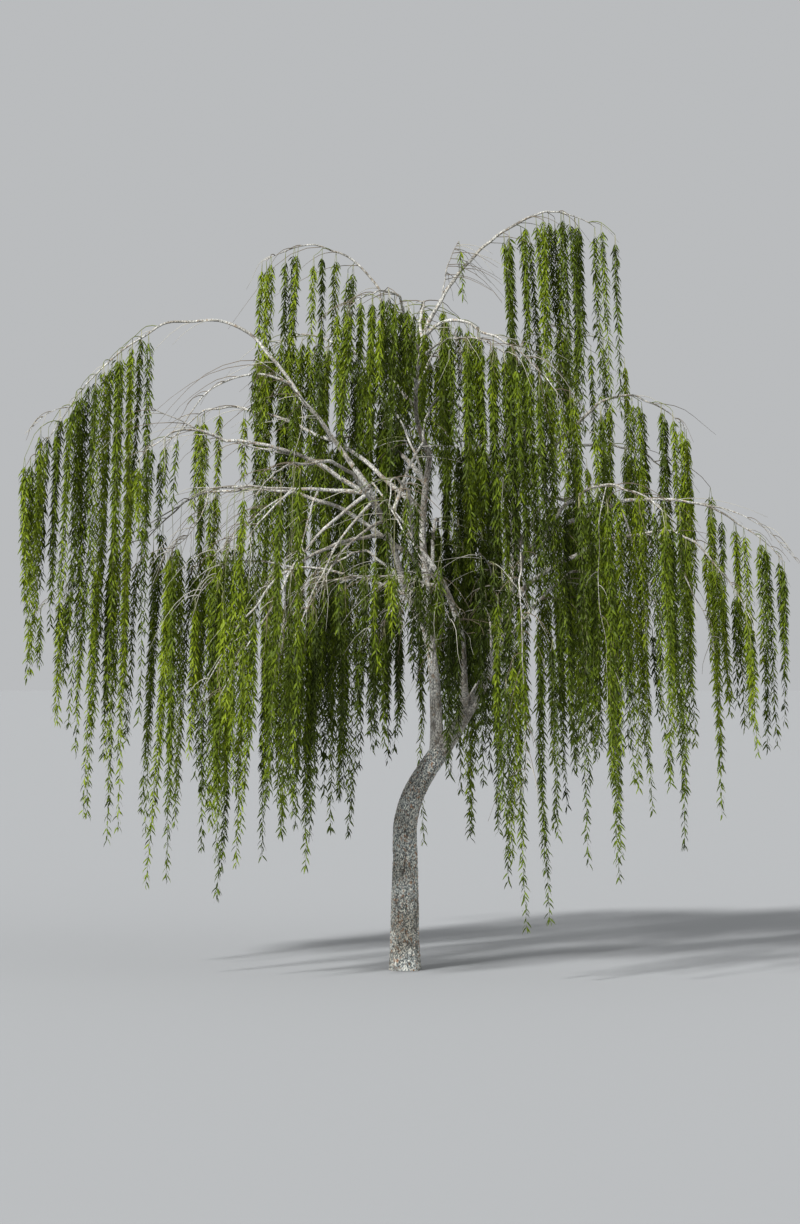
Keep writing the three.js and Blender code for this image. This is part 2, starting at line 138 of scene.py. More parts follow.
def tubes(paths, radii, side):
    """The points and triangles of many closed tubes of like rings and sides, one after another.
    `paths` has an axis for the tubes, one for the rings and one for x, y and z."""
    grid = sweep(paths, radii, side)
    count = len(paths)
    points = np.concatenate([grid.reshape(count, -1, 3), paths[:, :1], paths[:, -1:]], axis=1)
    first = points.shape[1] * np.arange(count)[:, None, None]
    faces = tube_faces(*grid.shape[1:3]) + first
    return points.reshape(-1, 3), faces.reshape(-1, 3)


def ripple(turn, run, columns, pitch, seed):
    """Smooth random values from -1 to 1 over a limb's bark: seeded numbers on a lattice of
    `columns` round the limb and a row every `pitch` metres, blended by 3f^2 - 2f^3."""
    rows = int(run.max() / pitch) + 2
    lattice = np.random.default_rng(seed).uniform(-1, 1, (rows + 1, columns))
    i = np.floor(turn * columns).astype(int)
    j = np.clip(np.floor(run / pitch).astype(int), 0, rows - 1)
    f = turn * columns - i
    g = run / pitch - j
    f = f * f * (3 - 2 * f)
    g = g * g * (3 - 2 * g)
    low = lattice[j, i % columns] * (1 - f) + lattice[j, (i + 1) % columns] * f
    high = lattice[j + 1, i % columns] * (1 - f) + lattice[j + 1, (i + 1) % columns] * f
    return low * (1 - g) + high * g


def cracks(turn, run, columns, pitch, width, seed):
    """The depth, from 0 to 1, of a net of cracks that part and meet: exp(-(field/width)^2) for a
    random field that a second one has shifted sideways."""
    shift = CRACK_SHIFT * ripple(turn, run, columns, SHIFT_PITCH * pitch, seed + 1) / columns
    field = ripple(turn + shift, run, columns, pitch, seed)
    return np.exp(-((field / width) ** 2))


def piece_of(name, points, faces, finishes, choice=None, values=None, smooth=True):
    """A mesh object at the origin. `choice` gives each face its finish, and `values` holds named
    numbers for each point that the finishes read."""
    mesh = bpy.data.meshes.new(name)
    mesh.vertices.add(len(points))
    mesh.vertices.foreach_set("co", points.astype(np.float32).ravel())
    mesh.loops.add(faces.size)
    mesh.loops.foreach_set("vertex_index", faces.astype(np.int32).ravel())
    mesh.polygons.add(len(faces))
    mesh.polygons.foreach_set("loop_start", 3 * np.arange(len(faces), dtype=np.int32))
    mesh.polygons.foreach_set("use_smooth", np.full(len(faces), smooth))
    for finish in finishes:
        mesh.materials.append(finish)
    if choice is not None:
        mesh.polygons.foreach_set("material_index", choice.astype(np.int32))
    for key, numbers in (values or {}).items():
        attribute = mesh.attributes.new(key, "FLOAT", "POINT")
        attribute.data.foreach_set("value", numbers.astype(np.float32).ravel())
    mesh.update(calc_edges=True)
    piece = bpy.data.objects.new(name, mesh)
    bpy.context.scene.collection.objects.link(piece)
    return piece


GLOSS = 0.3  # specular level of bark, twigs and floor
BARK_ROUGHNESS = 0.88
BARK_STRETCH = (1, 1, 0.6)  # draws the bark's patterns out along the height
SCALE_NOISE = (3, 0.62)  # detail and roughness of the pattern of scales
RUST_SHARE = 0.45  # flecks of rust to one scale of bark
RUST_DETAIL = 4
RUST_STOPS = [(0.57, 0.0), (0.63, 0.7)]
ZONES = 2.4  # to the metre
ZONE_DETAIL = 2
ZONE_STOPS = [(0.38, (0.56, 0.53, 0.49)), (0.6, (1.0, 1.0, 1.0))]
# how a crack darkens with its depth: darker inner bark and painted shade in the cracks
CRACK_SHADE_STOPS = [(0.45, 0.0), (0.95, 0.7)]
GRAIN_DETAIL = 5
GRAIN_STRENGTH = 0.8


def shader(name, roughness, gloss):
    """A new material, its tree of nodes and its surface shader."""
    material = bpy.data.materials.new(name)
    material.use_nodes = True
    surface = material.node_tree.nodes["Principled BSDF"]
    surface.inputs["Roughness"].default_value = roughness
    surface.inputs["Specular IOR Level"].default_value = gloss
    return material, material.node_tree, surface


def noise(tree, place, scale, detail, roughness=0.5):
    """Random greys over the given coordinates, with `scale` lumps to the metre."""
    node = tree.nodes.new("ShaderNodeTexNoise")
    node.inputs["Scale"].default_value = scale
    node.inputs["Detail"].default_value = detail
    node.inputs["Roughness"].default_value = roughness
    tree.links.new(place, node.inputs["Vector"])
    return node.outputs["Fac"]


def ramp(tree, value, stops):
    """A value turned into a colour by a ramp with the given (place, grey or colour) stops."""
    node = tree.nodes.new("ShaderNodeValToRGB")
    while len(node.color_ramp.elements) < len(stops):
        node.color_ramp.elements.new(0.5)
    for element, (place, colour) in zip(node.color_ramp.elements, stops):
        element.position = place
        element.color = (*colour, 1) if isinstance(colour, tuple) else (colour, colour, colour, 1)
    tree.links.new(value, node.inputs["Fac"])
    return node.outputs["Color"]


def mixed(tree, factor, below, above, way="MIX"):
    """Two colours mixed by a factor. Each of the three is a node's output or a plain value."""
    node = tree.nodes.new("ShaderNodeMix")
    node.data_type = "RGBA"
    node.blend_type = way
    for name, value in (("Factor", factor), ("A", below), ("B", above)):
        if isinstance(value, bpy.types.NodeSocket):
            tree.links.new(value, node.inputs[name])
        else:
            node.inputs[name].default_value = (*value, 1) if isinstance(value, tuple) else value
    return node.outputs["Result"]


def bark(name, scales, grain, grain_depth, tints, flecks, crack_colour_and_shade):
    """Bark: small scales of several greys, flecks of rust where the outer layer has flaked, browner
    zones a hand or two wide, a darker tone where the mesh's `crack` is deep, for the darker inner
    bark and as painted shade in the cracks, and a fine grain as bump. `scales` and `grain` count to
    the metre."""
    material, tree, surface = shader(name, BARK_ROUGHNESS, GLOSS)
    place = tree.nodes.new("ShaderNodeTexCoord").outputs["Object"]
    stretch = tree.nodes.new("ShaderNodeMapping")
    stretch.inputs["Scale"].default_value = BARK_STRETCH
    tree.links.new(place, stretch.inputs["Vector"])
    tall = stretch.outputs["Vector"]
    depth = tree.nodes.new("ShaderNodeAttribute")
    depth.attribute_name = "crack"

    greys = ramp(tree, noise(tree, tall, scales, *SCALE_NOISE), tints)
    rust = ramp(tree, noise(tree, tall, RUST_SHARE * scales, RUST_DETAIL), RUST_STOPS)
    zones = ramp(tree, noise(tree, place, ZONES, ZONE_DETAIL), ZONE_STOPS)
    # The cracks get a darker tone, for their inner bark and as painted shade.
    crack_darkening_and_shade = ramp(tree, depth.outputs["Fac"], CRACK_SHADE_STOPS)
    flecked = mixed(tree, rust, greys, flecks)
    toned = mixed(tree, 1, flecked, zones, "MULTIPLY")
    cracked = mixed(tree, crack_darkening_and_shade, toned, crack_colour_and_shade)
    tree.links.new(cracked, surface.inputs["Base Color"])

    bump = tree.nodes.new("ShaderNodeBump")
    bump.inputs["Strength"].default_value = GRAIN_STRENGTH
    bump.inputs["Distance"].default_value = grain_depth
    tree.links.new(noise(tree, tall, grain, GRAIN_DETAIL), bump.inputs["Height"])
    tree.links.new(bump.outputs["Normal"], surface.inputs["Normal"])
    return material


def trunk_shape(run, turn, length):
    """The trunk's radius without its bark: an even taper from butt to top, plus a flare that fades
    as exp(-height/flare height), times 1 + flute * sin(flutes * angle), rounded off at the fork."""
    even = TRUNK_BUTT + (TRUNK_TOP - TRUNK_BUTT) * run / length
    flare = ROOT_FLARE * np.exp(-run / FLARE_HEIGHT)
    flute = FLUTE_DEPTH * np.exp(-run / (2 * FLARE_HEIGHT))
    past = np.clip((run - (length - CROWN_LENGTH)) / CROWN_LENGTH, 0, 1)
    closing = np.sqrt(1 - CROWN_CLOSING * past**2)
    return (even + flare) * (1 + flute * np.sin(2 * np.pi * FLUTES * turn)) * closing


trunk_line = np.concatenate([
    np.linspace(np.zeros(3), TRUNK_BEND, UPRIGHT_POINTS)[:-1],
    bezier(TRUNK_BEND, TRUNK_ELBOW, TRUNK_FORK, LEANING_POINTS),
])
trunk_path = along(trunk_line, np.linspace(0, 1, TRUNK_RINGS))
trunk_length = run_of(trunk_path)[-1]
run, turn = np.meshgrid(run_of(trunk_path), np.arange(TRUNK_SIDES) / TRUNK_SIDES, indexing="ij")
wide_cracks = cracks(turn, run, *WIDE_CRACKS, SEED)
fine_cracks = cracks(turn, run, *FINE_CRACKS, SEED + 2)
crack = np.clip(wide_cracks + FINE_SHARE * fine_cracks, 0, 1)
lumps = LUMP_HEIGHT * ripple(turn, run, *LUMPS, SEED + 4)
chips = CHIP_HEIGHT * ripple(turn, run, *CHIPS, SEED + 5)
swell = lumps + chips
radius = trunk_shape(run, turn, trunk_length) + swell + RIDGE_HEIGHT - CRACK_DEPTH * crack
# The crack colour is the darker inner bark together with painted shade in the cracks.
trunk_bark = bark(
    "trunk_bark", scales=74, grain=230, grain_depth=0.006,
    tints=[
        (0.36, (0.04, 0.04, 0.035)), (0.45, (0.18, 0.21, 0.21)),
        (0.52, (0.43, 0.46, 0.45)), (0.60, (0.9, 0.88, 0.78)),
    ],
    flecks=(0.34, 0.16, 0.06), crack_colour_and_shade=(0.06, 0.052, 0.043),
)
points, faces = tubes(trunk_path[None], radius[None], np.array([[1.0, 0.0, 0.0]]))
crack = np.append(crack, END_CRACKS)
trunk = piece_of("trunk_with_bark", points, faces, [trunk_bark], values={"crack": crack})
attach(trunk, "root")
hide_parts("trunk")

# Leaders
# Five rising limbs that carry the crown, of younger wood with shallower, closer cracks in its bark.
# Each grows out of the trunk or of another leader with a swollen collar, and tapers to its tip.
SWAY = 0.016  # how far a limb's S-bend strays, as a share of the limb's length
LEADER_RINGS = 230
LEADER_SIDES = 44
COLLAR_SWELL = 0.32  # widening at a limb's root, as shares of its radius and of its length
COLLAR_LENGTH = 0.07
LEADER_BENDS = 0.004  # size of a leader's small bends, as a share of its length
BEND_PITCHES = (2, 3, 5)  # waves of those bends along it
CHANCE_STEPS = (12.9898, 78.233, 37.719)  # far from whole numbers, so that neighbours differ widely
CHANCE_SCALE = 43758.5453
LEAST_SLANT = 0.2  # level reach beside the rise past which a limb's rings are turned by its heading
COLUMN_WIDTH = 0.04  # of one column of cracks round a limb
LEAST_COLUMNS = 5
LIMB_CRACKS = (0.12, 0.14)  # pitch along the limb and how wide they open
LIMB_LUMPS = (4, 0.3)  # columns round the limb and pitch along it
LUMP_SHARE = 0.05  # height of its lumps and ridges and depth of its cracks, as shares of its girth
RIDGE_SHARE = 0.02
CRACK_SHARE = 0.08
BLUNT_END = 0.3  # share of its girth that a limb's last ring keeps
# from, where on it as a share of its length, tip, bow of the middle, radii at root and tip
LEADERS = {
    "left_leader": ("trunk", 0.95, (0.295, 0.12, 6.08), (-0.08, 0.03, 0), (0.072, 0.031)),
    "right_leader": ("trunk", 0.97, (1.2, 0.45, 6.25), (0.44, 0.06, 0), (0.084, 0.033)),
    "front_leader": ("right_leader", 0.12, (0.12, -0.72, 5.02), (0.24, -0.06, 0), (0.05, 0.024)),
    "west_leader": ("left_leader", 0.36, (-0.42, -0.48, 5.66), (-0.02, -0.04, 0.04), (0.042, 0.026)),
    "upper_leader": ("left_leader", 1, (0.26, -0.05, 7.61), (-0.15, -0.02, 0), (0.03, 0.019)),
}
paths = {"trunk": trunk_path}
girths = {"trunk": trunk_shape(run, turn, trunk_length)[:, 0]}


def chance(a, b, c):
    """A repeatable number from 0 to 1 for three whole numbers: the fraction of a large sine. They
    are mostly the seed of a mass, the number of a shoot or leaf, and one for what is drawn."""
    step_a, step_b, step_c = CHANCE_STEPS
    wave = np.sin(a * step_a + b * step_b + c * step_c) * CHANCE_SCALE
    return wave - np.floor(wave)


def crooked(path, share, seed):
    """A path with small bends: three sines of rising pitch in x, y and z, which fade to nothing at
    both of its ends."""
    t = np.linspace(0, 1, len(path))[:, None]
    axis = np.arange(3)
    size = share * np.linalg.norm(path[-1] - path[0])
    bends = sum(
        np.sin(2 * np.pi * (pitch * t + chance(seed, pitch, axis))) / pitch for pitch in BEND_PITCHES
    )
    return path + size * np.sin(np.pi * t) * bends


def arc(start, tip, bow, rings):
    """start + span*t + bow*4t(1-t) + aside*sin(2*pi*t), which is a bowed line with an S-bend."""
    t = np.linspace(0, 1, rings)[:, None]
    span = tip - start
    aside = unit(np.cross(span, UP)) * SWAY * np.linalg.norm(span)
    return start + span * t + bow * 4 * t * (1 - t) + aside * np.sin(2 * np.pi * t)


def square_side(path):
    """A level direction square to the way that a limb runs, which its rings are turned from."""
    span = path[-1] - path[0]
    level = np.array([span[0], span[1], 0.0])
    if np.linalg.norm(level) > LEAST_SLANT * abs(span[2]):
        return unit(np.cross(level, UP))
    return np.array([1.0, 0, 0])


def limb_girth(radii, rings):
    """An even taper times 1 + swell * exp(-share/length), which widens the root into a collar."""
    t = np.linspace(0, 1, rings)
    return (radii[0] + (radii[1] - radii[0]) * t) * (1 + COLLAR_SWELL * np.exp(-t / COLLAR_LENGTH))


def barked(path, girth, sides, seed):
    """A limb's points, triangles and crack depths: its girth less cracks, whose depth and spacing
    go with the girth, and with a blunt end."""
    run, turn = np.meshgrid(run_of(path), np.arange(sides) / sides, indexing="ij")
    columns = max(LEAST_COLUMNS, int(2 * np.pi * girth.mean() / COLUMN_WIDTH))
    crack = cracks(turn, run, columns, *LIMB_CRACKS, seed)
    lumps = LUMP_SHARE * ripple(turn, run, *LIMB_LUMPS, seed + 3)
    swell = lumps + RIDGE_SHARE - CRACK_SHARE * crack
    radius = girth[:, None] * (1 + swell)
    radius[-1] *= BLUNT_END
    points, faces = tubes(path[None], radius[None], square_side(path)[None])
    return points, faces, np.append(crack, END_CRACKS)


def gathered(parts):
    """Points and triangles of several bodies as those of one, and their other values in a row."""
    before = np.cumsum([0] + [len(points) for points, _, _ in parts[:-1]])
    points = np.concatenate([points for points, _, _ in parts])
    faces = np.concatenate([faces + first for (_, faces, _), first in zip(parts, before)])
    return points, faces, np.concatenate([values for _, _, values in parts])


parts = []
for seed, (name, (parent, at, tip, bow, radii)) in enumerate(LEADERS.items(), start=1):
    start = along(paths[parent], at)
    paths[name] = crooked(arc(start, np.array(tip), np.array(bow), LEADER_RINGS), LEADER_BENDS, seed)
    girths[name] = limb_girth(radii, LEADER_RINGS)
    parts.append(barked(paths[name], girths[name], LEADER_SIDES, SEED * seed))
# The crack colour is the darker inner bark together with painted shade in the cracks.
limb_bark = bark(
    "limb_bark", scales=70, grain=260, grain_depth=0.004,
    tints=[
        (0.34, (0.12, 0.12, 0.11)), (0.45, (0.3, 0.3, 0.28)),
        (0.55, (0.54, 0.53, 0.49)), (0.66, (0.78, 0.76, 0.69)),
    ],
    flecks=(0.27, 0.19, 0.11), crack_colour_and_shade=(0.07, 0.06, 0.05),
)
points, faces, crack = gathered(parts)
leaders = piece_of("leaders_with_bark", points, faces, [limb_bark], values={"crack": crack})
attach(leaders, "root")
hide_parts(*LEADERS)

# Boughs
# Twenty-six boughs arch out of the leaders and run on as the stems of the hanging foliage, and
# lesser limbs fork off between them. Their bark is thin and silvery with few cracks, and they
# taper without a break from collar to tip.
BOUGH_RINGS = 46
STEM_RINGS = 30
BOUGH_SIDES = 12
STEM_TIP = 0.004
BOUGH_BENDS = 0.012  # sizes of the small bends, as shares of the length
STEM_BENDS = 0.015
LESSER_BENDS = 0.01
STEM_MIDDLE = 0.4  # where a stem's arch is pulled up, as a share of the way to its end
STEM_ONWARD = 0.1  # how far it first runs on, as a share of that way
LEAST_BARE = 0.08  # least share of a bough and its stem that has no foliage
BOUGH_SEEDS = 10  # added to a limb's own number
STEM_SEEDS = 50
BARK_SEEDS = 3
FIRST_LESSER = 40  # number of the first lesser limb
# from, at, tip, bow, radii of the bough; then of its foliage: end of the stem, rise of the stem,
# spread of the arms to its sides, height of the hem, and how far before the bough's tip it starts
BOUGHS = {
    "top_right": ("upper_leader", 0.98, (1.35, 0.15, 8.83), (-0.07, 0.02, 0.13), (0.023, 0.015),
                  (2.26, 0.26, 8.78), 0.26, 0.38, 5.6, 0.35),
    "top_left": ("upper_leader", 0.55, (-0.3, -0.06, 8.02), (-0.08, 0.02, -0.04), (0.022, 0.015),
                 (-1.7, -0.12, 8.33), 0.56, 0.38, 5.7, -0.25),
    "top_middle": ("upper_leader", 0.78, (-0.06, -0.52, 7.9), (-0.06, -0.02, 0.06), (0.022, 0.015),
                   (-0.64, -1.15, 7.72), 0.16, 0.62, 5.6, 0.7),
    "top_front": ("upper_leader", 0.9, (0.88, -0.56, 7.48), (0, -0.04, 0.17), (0.022, 0.015),
                  (1.8, -1.25, 6.66), 0.3, 0.56, 4.3, 0.9),
    "top_back": ("upper_leader", 0.66, (0.23, 0.98, 7.9), (0, 0.04, 0.12), (0.022, 0.015),
                 (0.16, 2.15, 7.7), 0.3, 0.64, 4.7, 0.7),
    "top_far_right": ("right_leader", 1, (1.48, 1.15, 7.56), (-0.06, -0.03, 0.06), (0.03, 0.015),
                      (2.3, 1.9, 7.48), 0.32, 0.64, 4.5, 0.7),
    "top_far_left": ("upper_leader", 0.36, (-0.8, 0.9, 7.42), (-0.04, 0.02, 0.16), (0.022, 0.015),
                     (-1.75, 1.65, 7.38), 0.33, 0.64, 4.3, 0.7),
    "left_shoulder": ("west_leader", 1, (-1.75, -0.35, 7.43), (-0.07, 0.03, 0.12), (0.031, 0.018),
                      (-4.36, -0.45, 5.95), 1.2, 0.52, 1.3, -1.1),
    "left_front": ("west_leader", 0.93, (-2.08, -0.98, 6.19), (-0.04, -0.06, 0.19), (0.028, 0.017),
                   (-3.08, -1.62, 5.9), 0.48, 0.52, 4.7, -0.2),
    "left_middle": ("left_leader", 0.62, (-2.05, 0.24, 5.65), (-0.06, 0.02, 0.33), (0.03, 0.016),
                    (-3.2, 0.52, 4.9), 0.42, 0.52, 1.2, 0),
    "left_back": ("left_leader", 0.8, (-1.85, 1.35, 6.65), (-0.06, 0.04, 0.26), (0.03, 0.016),
                  (-3.05, 2.25, 6.15), 0.48, 0.56, 4.6, 0.6),
    "right_shoulder": ("right_leader", 0.9, (2.3, 0.25, 6.7), (-0.04, -0.04, -0.09), (0.031, 0.016),
                       (3.35, 0.32, 6.38), 0.32, 0.42, 2.6, 0.2),
    "right_back": ("right_leader", 0.82, (2.35, 1.5, 6.25), (0.04, 0.06, 0.2), (0.031, 0.016),
                   (3.5, 2.35, 5.75), 0.3, 0.64, 1.5, 0.8),
    "right_front": ("right_leader", 0.55, (2.15, -1.15, 5.65), (0.06, -0.06, 0.26), (0.031, 0.016),
                    (3.0, -2.25, 5.25), 0.26, 0.6, 0.95, 0.6),
    "front": ("front_leader", 1, (-0.06, -1.65, 5.7), (0.02, -0.06, 0.12), (0.029, 0.015),
              (-0.18, -2.95, 5.35), 0.26, 0.56, 3.3, 0.5),
    "front_left": ("west_leader", 0.85, (-1.08, -1.55, 5.9), (0, -0.04, 0.23), (0.028, 0.015),
                   (-1.65, -2.95, 5.5), 0.26, 0.6, 0.7, 0.4),
    "back": ("right_leader", 0.74, (0.8, 1.9, 6.35), (0, 0.06, 0.23), (0.031, 0.015),
             (0.85, 3.15, 5.95), 0.3, 0.66, 1.3, 0.9),
    "back_left": ("left_leader", 0.9, (-0.75, 1.95, 6.35), (-0.02, 0.06, 0.23), (0.03, 0.015),
                  (-1.45, 3.25, 5.9), 0.3, 0.66, 1.3, 0.9),
    "back_right": ("right_leader", 0.66, (1.95, 2.15, 5.6), (0.04, 0.06, 0.26), (0.03, 0.015),
                   (2.45, 3.3, 5.0), 0.24, 0.6, 1.2, 0.8),
    "far_right": ("right_leader", 0.6, (3.15, -0.15, 5.54), (-0.06, -0.08, 0.26), (0.034, 0.016),
                  (4.46, -0.24, 4.8), 0.26, 0.26, 2.3, -0.3),
    "low_right": ("right_leader", 0.5, (3.08, -0.82, 5.16), (-0.04, -0.04, 0.22), (0.031, 0.015),
                  (3.98, -1.25, 4.1), 0.26, 0.42, 1.3, 0.2),
    "low_left": ("west_leader", 0.7, (-1.48, -1.25, 4.6), (0.04, -0.04, 0.16), (0.026, 0.015),
                 (-2.3, -1.85, 3.3), 0.06, 0.5, 0.9, -0.1),
    "front_right": ("right_leader", 0.4, (1.33, -1.15, 4.9), (0.06, -0.06, 0.2), (0.024, 0.01),
                    (1.33, -2.1, 3.5), 0.12, 0.52, 0.6, -0.2),
    "inner_left": ("left_leader", 0.46, (-0.45, 0.56, 4.95), (-0.04, 0.04, 0.12), (0.026, 0.015),
                   (-1.1, 0.95, 4.5), 0.16, 0.56, 1.5, 0.6),
    "inner_right": ("right_leader", 0.34, (1.98, 0.52, 4.7), (0, 0.02, 0.06), (0.028, 0.015),
                    (2.7, 0.9, 4.2), 0.18, 0.56, 1.8, 0.6),
    "inner_back": ("left_leader", 0.56, (0.38, 1.12, 5.35), (0.02, 0.04, 0.1), (0.026, 0.015),
                   (0.42, 2.05, 4.9), 0.18, 0.62, 2.3, 0.7),
}
# Lesser limbs, some of them bare: from, at, tip, bow, radii
LESSER_LIMBS = {
    "star_link": ("front_leader", 1, (-0.39, -0.5, 5.74), (0.02, -0.03, 0), (0.02, 0.01)),
    "star_rise": ("star_link", 0.5, (0.22, -0.25, 6.22), (-0.06, -0.04, -0.05), (0.024, 0.014)),
    "inner_arch": ("star_rise", 1, (0.53, -0.3, 6.86), (-0.1, -0.06, 0.02), (0.016, 0.011)),
    "inner_rise": ("inner_arch", 1, (0.57, -0.35, 7.62), (0.03, 0, 0), (0.011, 0.004)),
    "left_fan": ("left_shoulder", 0.27, (-2.74, -0.55, 6.08), (-0.1, -0.05, 0.42), (0.015, 0.004)),
    "left_reach": ("left_front", 0.32, (-2.97, -1.15, 6.6), (0, 0, -0.1), (0.013, 0.004)),
    "left_low": ("west_leader", 0.97, (-2.42, -0.75, 5.66), (0, -0.05, 0.03), (0.026, 0.006)),
    "down_left": ("west_leader", 0.8, (-1.2, -1.3, 4.1), (-0.05, -0.05, 0.15), (0.018, 0.005)),
    "front_low": ("front_leader", 0.75, (-0.32, -1.3, 4.0), (-0.05, -0.05, 0.12), (0.016, 0.005)),
    "front_fall": ("front_right", 0.98, (1.26, -2.15, 2.0), (0.06, 0, 0), (0.004, 0.002)),
    "fan_long": ("west_leader", 0.98, (-2.1, -2.2, 3.24), (-0.06, 0, 0.23), (0.022, 0.004)),
    "fan_fork": ("fan_long", 0.5, (-1.4, -1.5, 3.81), (0.02, 0, 0.05), (0.01, 0.003)),
    "fan_inner": ("west_leader", 0.93, (-1.36, -1.9, 3.7), (-0.1, 0, 0.04), (0.017, 0.004)),
    "fan_upper": ("left_low", 0.45, (-2.41, -1.6, 4.35), (0, 0, 0.03), (0.012, 0.003)),
    "fan_low": ("left_low", 0.42, (-2.2, -1.3, 4.85), (-0.05, 0, 0.04), (0.011, 0.003)),
    "fan_tip": ("left_low", 0.93, (-2.73, -1.1, 4.9), (0.12, 0, 0), (0.009, 0.003)),
    "fan_middle": ("left_low", 0.3, (-1.34, -1.45, 4.62), (0.03, 0, 0.05), (0.013, 0.004)),
    "centre_low": ("front_leader", 0.7, (-0.75, -1.2, 4.55), (0, 0, 0.14), (0.014, 0.004)),
    "centre_drop": ("star_link", 0.7, (0.52, -1.6, 4.1), (-0.02, 0, 0.12), (0.011, 0.003)),
    "right_hang": ("far_right", 0.42, (3.03, -1.0, 3.55), (0.04, 0, 0.05), (0.013, 0.003)),
    "right_drop": ("low_right", 0.55, (3.55, -1.35, 3.74), (0.06, 0, 0.1), (0.011, 0.003)),
    "front_drop": ("right_front", 0.66, (2.3, -1.6, 2.9), (-0.08, -0.1, 0.1), (0.005, 0.002)),
    "crown_twig": ("top_right", 0.14, (0.64, 0.0, 8.6), (-0.03, 0, 0.05), (0.008, 0.003)),
    "left_whip": ("left_middle", 0.8, (-4.4, -0.1, 4.15), (0, 0, 0.1), (0.007, 0.002)),
    "outer_whip": ("left_shoulder", 0.86, (-4.38, -0.75, 6.3), (0, 0, 0.08), (0.006, 0.002)),
    "right_whip": ("far_right", 0.7, (4.6, -0.5, 4.78), (0, 0, 0.16), (0.008, 0.002)),
    "front_veil": ("upper_leader", 0.7, (1.15, -1.0, 7.2), (-0.05, 0, 0.25), (0.017, 0.005)),
    "right_veil": ("right_leader", 0.78, (1.35, -0.85, 6.35), (0.06, 0, 0.3), (0.019, 0.005)),
    "low_veil": ("right_leader", 0.42, (0.86, -0.95, 4.9), (0.02, 0, 0.1), (0.015, 0.005)),
    "mid_veil": ("front_leader", 0.62, (0.1, -1.35, 4.6), (0.02, 0, 0.2), (0.017, 0.005)),
    "fork_veil": ("right_leader", 0.3, (0.95, 0.75, 4.3), (0.02, 0, 0.2), (0.017, 0.005)),
    "low_rear": ("left_leader", 0.5, (-2.75, 1.7, 4.75), (0, 0.05, 0.25), (0.02, 0.005)),
    "rear_veil": ("left_leader", 0.88, (-0.4, 1.15, 6.8), (0, 0.05, 0.3), (0.017, 0.005)),
    "stem_veil": ("front_leader", 0.3, (0.5, -0.95, 4.35), (0.02, 0, 0.12), (0.012, 0.004)),
    "rear_fall": ("upper_leader", 0.5, (0.55, 1.0, 7.35), (0, 0.05, 0.2), (0.014, 0.005)),
    "shoulder_fall": ("left_shoulder", 0.1, (-1.75, -0.95, 7.15), (0, -0.05, 0.12), (0.012, 0.004)),
}
# The lesser limbs with foliage: region, where it starts, spread of its arms, height of its hem
VEILS = {
    "crown_twig": ("top_right", 0.8, 0.06, 7.9),
    "front_veil": ("top_left", 0.5, 0.3, 3.9),
    "right_veil": ("top_right", 0.35, 0.42, 2.9),
    "low_veil": ("inner", 0.35, 0.4, 2.0),
    "mid_veil": ("front", 0.4, 0.42, 3.2),
    "fork_veil": ("inner", 0.3, 0.45, 2.1),
    "rear_veil": ("back", 0.3, 0.45, 3.2),
    "low_rear": ("left", 0.5, 0.5, 1.7),
    "fan_tip": ("left", 0.6, 0.4, 0.55),
    "fan_long": ("left", 0.35, 0.3, 1.0),
    "fan_upper": ("left", 0.3, 0.3, 1.0),
    "fan_low": ("left", 0.3, 0.3, 1.6),
    "left_low": ("left", 0.45, 0.25, 2.6),
    "left_whip": ("left", 0.25, 0.3, 1.6),
    "fan_inner": ("front", 0.4, 0.3, 0.55),
    "down_left": ("front", 0.35, 0.35, 1.2),
    "front_low": ("front", 0.3, 0.35, 2.6),
    "centre_low": ("front", 0.3, 0.35, 2.1),
    "stem_veil": ("inner", 0.45, 0.3, 1.7),
    "rear_fall": ("back", 0.4, 0.25, 4.4),
    "shoulder_fall": ("left", 0.15, 0.3, 5.7),
}


def stem_of(bough, reach, rise, seed):
    """A stem's path: it runs on from the bough's tip, climbs by `rise` and arches to `reach`."""
    onward = unit(bough[-1] - bough[-2])
    far = np.linalg.norm(reach - bough[-1])
    control = bough[-1] + STEM_MIDDLE * (reach - bough[-1]) + onward * STEM_ONWARD * far + UP * rise
    return crooked(bezier(bough[-1], control, reach, STEM_RINGS), STEM_BENDS, seed)


leafy_from = {}
parts = []
for seed, (name, row) in enumerate(BOUGHS.items(), start=1):
    parent, at, tip, bow, radii, reach, rise, _, _, lead = row
    bough = arc(along(paths[parent], at), np.array(tip), np.array(bow), BOUGH_RINGS)
    bough = crooked(bough, BOUGH_BENDS, BOUGH_SEEDS + seed)
    stem = stem_of(bough, np.array(reach), rise, STEM_SEEDS + seed)
    rings = BOUGH_RINGS + STEM_RINGS
    t = np.linspace(0, 1, rings)
    paths[name] = along(np.concatenate([bough, stem[1:]]), t)
    bough_length = run_of(bough)[-1]
    length = bough_length + run_of(stem)[-1]
    tip_share = bough_length / length
    girths[name] = np.interp(t, [0, tip_share, 1], [radii[0], radii[1], STEM_TIP])
    girths[name] *= 1 + COLLAR_SWELL * np.exp(-t / (COLLAR_LENGTH * tip_share))
    leafy_from[name] = np.clip((bough_length - lead) / length, LEAST_BARE, 1)
    parts.append(barked(paths[name], girths[name], BOUGH_SIDES, SEED * seed + BARK_SEEDS))
for seed, (name, row) in enumerate(LESSER_LIMBS.items(), start=FIRST_LESSER):
    parent, at, tip, bow, radii = row
    path = arc(along(paths[parent], at), np.array(tip), np.array(bow), BOUGH_RINGS)
    paths[name] = crooked(path, LESSER_BENDS, BOUGH_SEEDS + seed)
    girths[name] = limb_girth(radii, BOUGH_RINGS)
    parts.append(barked(paths[name], girths[name], BOUGH_SIDES, SEED * seed + BARK_SEEDS))
points, faces, crack = gathered(parts)
boughs = piece_of("boughs_with_bark", points, faces, [limb_bark], values={"crack": crack})
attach(boughs, "root")
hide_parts(*[f"bough_{name}" for name in BOUGHS])

